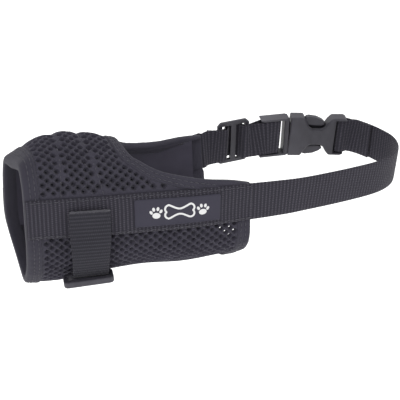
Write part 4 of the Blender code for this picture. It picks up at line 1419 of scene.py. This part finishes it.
def loop_up(centres, side):
    """Width direction along the neck strap: the band's own at the sleeve, then the loop's lean."""
    half = WEBBING_WIDTH / 2
    start = sleeve_point(SLEEVE_LENGTH, half, side, 0.0) - sleeve_point(SLEEVE_LENGTH, -half, side, 0.0)
    start.normalize()
    lean = np.array((0, -math.sin(LOOP_LEAN), math.cos(LOOP_LEAN)))
    growth = LEAN_GROWTH_NEAR if side < 0 else LEAN_GROWTH_FAR
    grow = np.clip((np.asarray(centres)[:, 0] - SLEEVE_LENGTH) / growth, 0, 1)[:, None]
    return (1 - grow) * np.array(start) + grow * lean


def strap_piece(name, path, side):
    """A length of the neck strap's webbing."""
    return woven(name, path, loop_up(path, side), WEBBING_WIDTH, WEBBING_THICKNESS, "webbing")


def make_far_strap():
    """Three lengths of one strap, so that the slider can carry the middle of each strand."""
    bars = SLIDER_DEPTH / 2 + GAP + WEBBING_THICKNESS / 2
    layer = WEBBING_THICKNESS + GAP
    standing, returning, lift = -bars - layer, -bars, 2 * bars + layer
    steps = np.arange(-SLIDER_REACH, SLIDER_REACH + 0.01, SLIDER_STEP)
    wing = sleeve_point(SLEEVE_LENGTH, 0.0, FAR, GAP + WEBBING_THICKNESS / 2)
    offsets = ((-STRAP_TUCK, -0.1, 0), (1.7, 0, 0), (4.4, 1.1, 0.6))
    start = [np.array((wing.x + x, wing.y + y, wing.z + z)) for x, y, z in offsets]
    first = [in_frame(SLIDER, x, weave_offset(x, standing, lift, 1.7, 5.6)) for x in steps]
    to_bar = [in_frame(MALE, x, -WRAP_RADIUS) for x in (WRAP_BAR_X - 6.0, WRAP_BAR_X - 3.0)]
    turn = [in_frame(MALE, x, y) for x, y in arc((WRAP_BAR_X, 0), WRAP_RADIUS, -90, 90, 11)]
    back = [in_frame(MALE, x, WRAP_RADIUS) for x in (WRAP_BAR_X - 3.0, WRAP_BAR_X - 6.0)]
    second = [in_frame(SLIDER, x, weave_offset(x, returning, lift, 2.9, 6.7)) for x in reversed(steps)]
    beside = np.array((0, WEBBING_THICKNESS + TAIL_SPREAD, 0))
    tail = [start[-1] + (second[-1] - first[0]) * 0.5 + (first[0] - start[-1]) * 0.45, start[-1] + beside]
    middle = len(steps) // 2
    parts = (("neck_strap_far_standing", start + first[:middle + 1]),
             ("neck_strap_far_return", first[middle:] + to_bar + turn + back + second[:middle + 1]),
             ("neck_strap_far_tail", second[middle:] + tail))
    for name, path in parts:
        thing = strap_piece(name, path, FAR)
        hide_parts("neck_strap_far")
        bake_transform(thing)


def approach_curve():
    """Centre line of the near strap: along the near side, round the back and up to the buckle."""
    wing = sleeve_point(SLEEVE_LENGTH, 0.0, NEAR, GAP + WEBBING_THICKNESS / 2)
    end = in_frame(BUCKLE, FEMALE_LENGTH + 1.0, 0)
    before = in_frame(BUCKLE, FEMALE_LENGTH + 7.0, -1.0, -0.6)
    points = [(wing.x - STRAP_TUCK, wing.y + 0.1, wing.z), (125, -35.0, -0.2), (140, -34.2, -0.3),
              (170, -29.0, -0.5), (191, -22.3, -0.8), (204, -12.0, -0.5), (209.3, 2.0, 0.5),
              (206.5, 14.0, 2.0), tuple(before), tuple(end)]
    return smooth_curve(points, 5)


def split_at(curve, from_end):
    """The curve cut at a distance before its end."""
    steps = np.linalg.norm(np.diff(curve, axis=0), axis=1)
    left = np.r_[np.cumsum(steps[::-1])[::-1], 0]
    point = np.array([np.interp(from_end, left[::-1], curve[::-1, k]) for k in range(3)])
    before = curve[left > from_end + 0.5]
    after = curve[left < from_end - 0.5]
    return np.vstack([before, point]), np.vstack([point, after])


def sideways(curve, distance):
    """The curve moved out of the loop by a distance that may change along it."""
    along = np.gradient(curve, axis=0)
    out = unit(np.cross(np.array((0, 0, 1.0)), along))
    return curve + out * np.reshape(distance, (-1, 1))


def make_near_strap():
    curve = approach_curve()
    main, fold = split_at(curve, FOLD_LENGTH)
    layer = (WEBBING_THICKNESS + GAP) / 2
    shift = layer * np.clip((np.arange(len(main)) - len(main) + 8) / 7.0, 0, 1)
    path = sideways(main, -shift)
    thing = strap_piece("neck_strap_near_woven", path, NEAR)
    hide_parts("neck_strap_near")
    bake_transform(thing)
    outer = sideways(fold, -layer)
    inner = sideways(fold, layer)
    spread = [in_frame(BUCKLE, END_BAR_X + 1.2, y) for y in (WRAP_RADIUS, -WRAP_RADIUS)]
    turn = [in_frame(BUCKLE, x, y) for x, y in arc((END_BAR_X, 0), WRAP_RADIUS, 90, 270, 11)]
    loop = np.vstack([outer[:-1], spread[0], turn, spread[1], inner[:-1][::-1]])
    thing = strap_piece("neck_strap_fold_woven", loop, NEAR)
    finish_piece(thing, "female_half", "webbing", "neck_strap_fold")
    make_bartack(inner)


def make_bartack(inner):
    """Dense zigzag sewing that holds the fold-back, on the face inside the loop."""
    path, at = resample(inner, 0.4)
    up = loop_up(path, NEAR)
    along = unit(np.gradient(path, axis=0))
    across = unit(square_to(up, along))
    normal = np.cross(along, across)
    vertices, faces, flat = [], [], []
    face = WEBBING_THICKNESS / 2
    sides = 6
    for offset in np.arange(1.2, at[-1] - 0.6, 1.9):
        k = int(np.argmin(np.abs(at - offset)))
        base = len(vertices)
        heights = np.linspace(-8.4, 8.4, 15)
        for r, height in enumerate(heights):
            zig = 0.22 * (1 if r % 2 else -1)
            for s in range(sides):
                angle = 2 * math.pi * s / sides
                vertices.append(path[k] + across[k] * height
                                + normal[k] * (face + 0.05 + 0.22 * math.sin(angle))
                                + along[k] * (zig + 0.34 * math.cos(angle)))
                flat.append((height, s * 0.2))
        faces += thread_faces(base, len(heights), sides)
    thing = add_mesh("stitches_fold_bartack", vertices, faces, "thread", flat)
    return finish_piece(face_out(thing), "female_half", "webbing")


# ---------------------------------------------------------------- hard parts

def finish_hardware():
    for name in ("cinch_ring", "buckle_female", "buckle_male", "prong_upper", "prong_lower", "slider"):
        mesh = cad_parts[name].data
        mesh.materials.clear()
        mesh.materials.append(MATERIALS["plastic"])


# ---------------------------------------------------------------- studio

WHITE = (1.0, 1.0, 1.0, 1.0)
CAMERA_PLACE = Vector((-0.0964, -0.5485, 0.2288))
CAMERA_AIM = Vector((0.0968, 0.0, -0.0109))
FLOOR_DROP = 0.16


def add_area(name, place, aim, size, power):
    light = bpy.data.lights.new(name, "AREA")
    light.shape = "DISK"
    light.size = size
    light.energy = power
    lamp = bpy.data.objects.new(name, light)
    lamp.location = place
    lamp.rotation_euler = (Vector(aim) - Vector(place)).to_track_quat("-Z", "Y").to_euler()
    bpy.context.scene.collection.objects.link(lamp)


def make_studio():
    camera = bpy.data.cameras.new("camera")
    camera.lens = 108.0
    camera.sensor_width = 36.0
    camera.clip_start = 0.01
    view = bpy.data.objects.new("camera", camera)
    view.location = CAMERA_PLACE
    view.rotation_euler = (CAMERA_AIM - CAMERA_PLACE).to_track_quat("-Z", "Y").to_euler()
    bpy.context.scene.collection.objects.link(view)
    bpy.context.scene.camera = view

    world = bpy.data.worlds.new("studio")
    world.use_nodes = True
    world.node_tree.nodes["Background"].inputs["Color"].default_value = WHITE
    world.node_tree.nodes["Background"].inputs["Strength"].default_value = 1.0
    bpy.context.scene.world = world
    bpy.context.scene.view_settings.view_transform = "Standard"

    paper = bpy.data.materials.new("studio_paper")
    paper.use_nodes = True
    shader = paper.node_tree.nodes["Principled BSDF"]
    shader.inputs["Base Color"].default_value = (0.95, 0.95, 0.95, 1.0)
    shader.inputs["Roughness"].default_value = 0.9
    shader.inputs["Emission Color"].default_value = WHITE
    shader.inputs["Emission Strength"].default_value = 0.35
    level = CAD_BOX[0][2] - FLOOR_DROP
    reach = 6.0
    mesh = bpy.data.meshes.new("floor")
    corners = [(x * reach, y * reach, level) for x, y in ((-1, -1), (1, -1), (1, 1), (-1, 1))]
    mesh.from_pydata(corners, [], [(0, 1, 2, 3)])
    mesh.materials.append(paper)
    floor = bpy.data.objects.new("floor", mesh)
    bpy.context.scene.collection.objects.link(floor)

    add_area("key", (-0.35, -0.55, 0.75), (0.09, 0.0, 0.0), 0.7, 2.6)
    add_area("fill", (0.55, -0.6, 0.35), (0.1, 0.0, 0.0), 0.8, 0.6)
    add_area("back", (0.1, 0.7, 0.6), (0.1, 0.0, 0.0), 0.8, 1.0)


# ---------------------------------------------------------------- build

make_studio()
make_bridge()
make_low_mesh()
make_front_tape()
make_edge_tape()
make_rear_tape()
make_bands()
make_linings()
make_label()
make_cinch()
make_far_strap()
make_near_strap()
make_stitching()
finish_hardware()
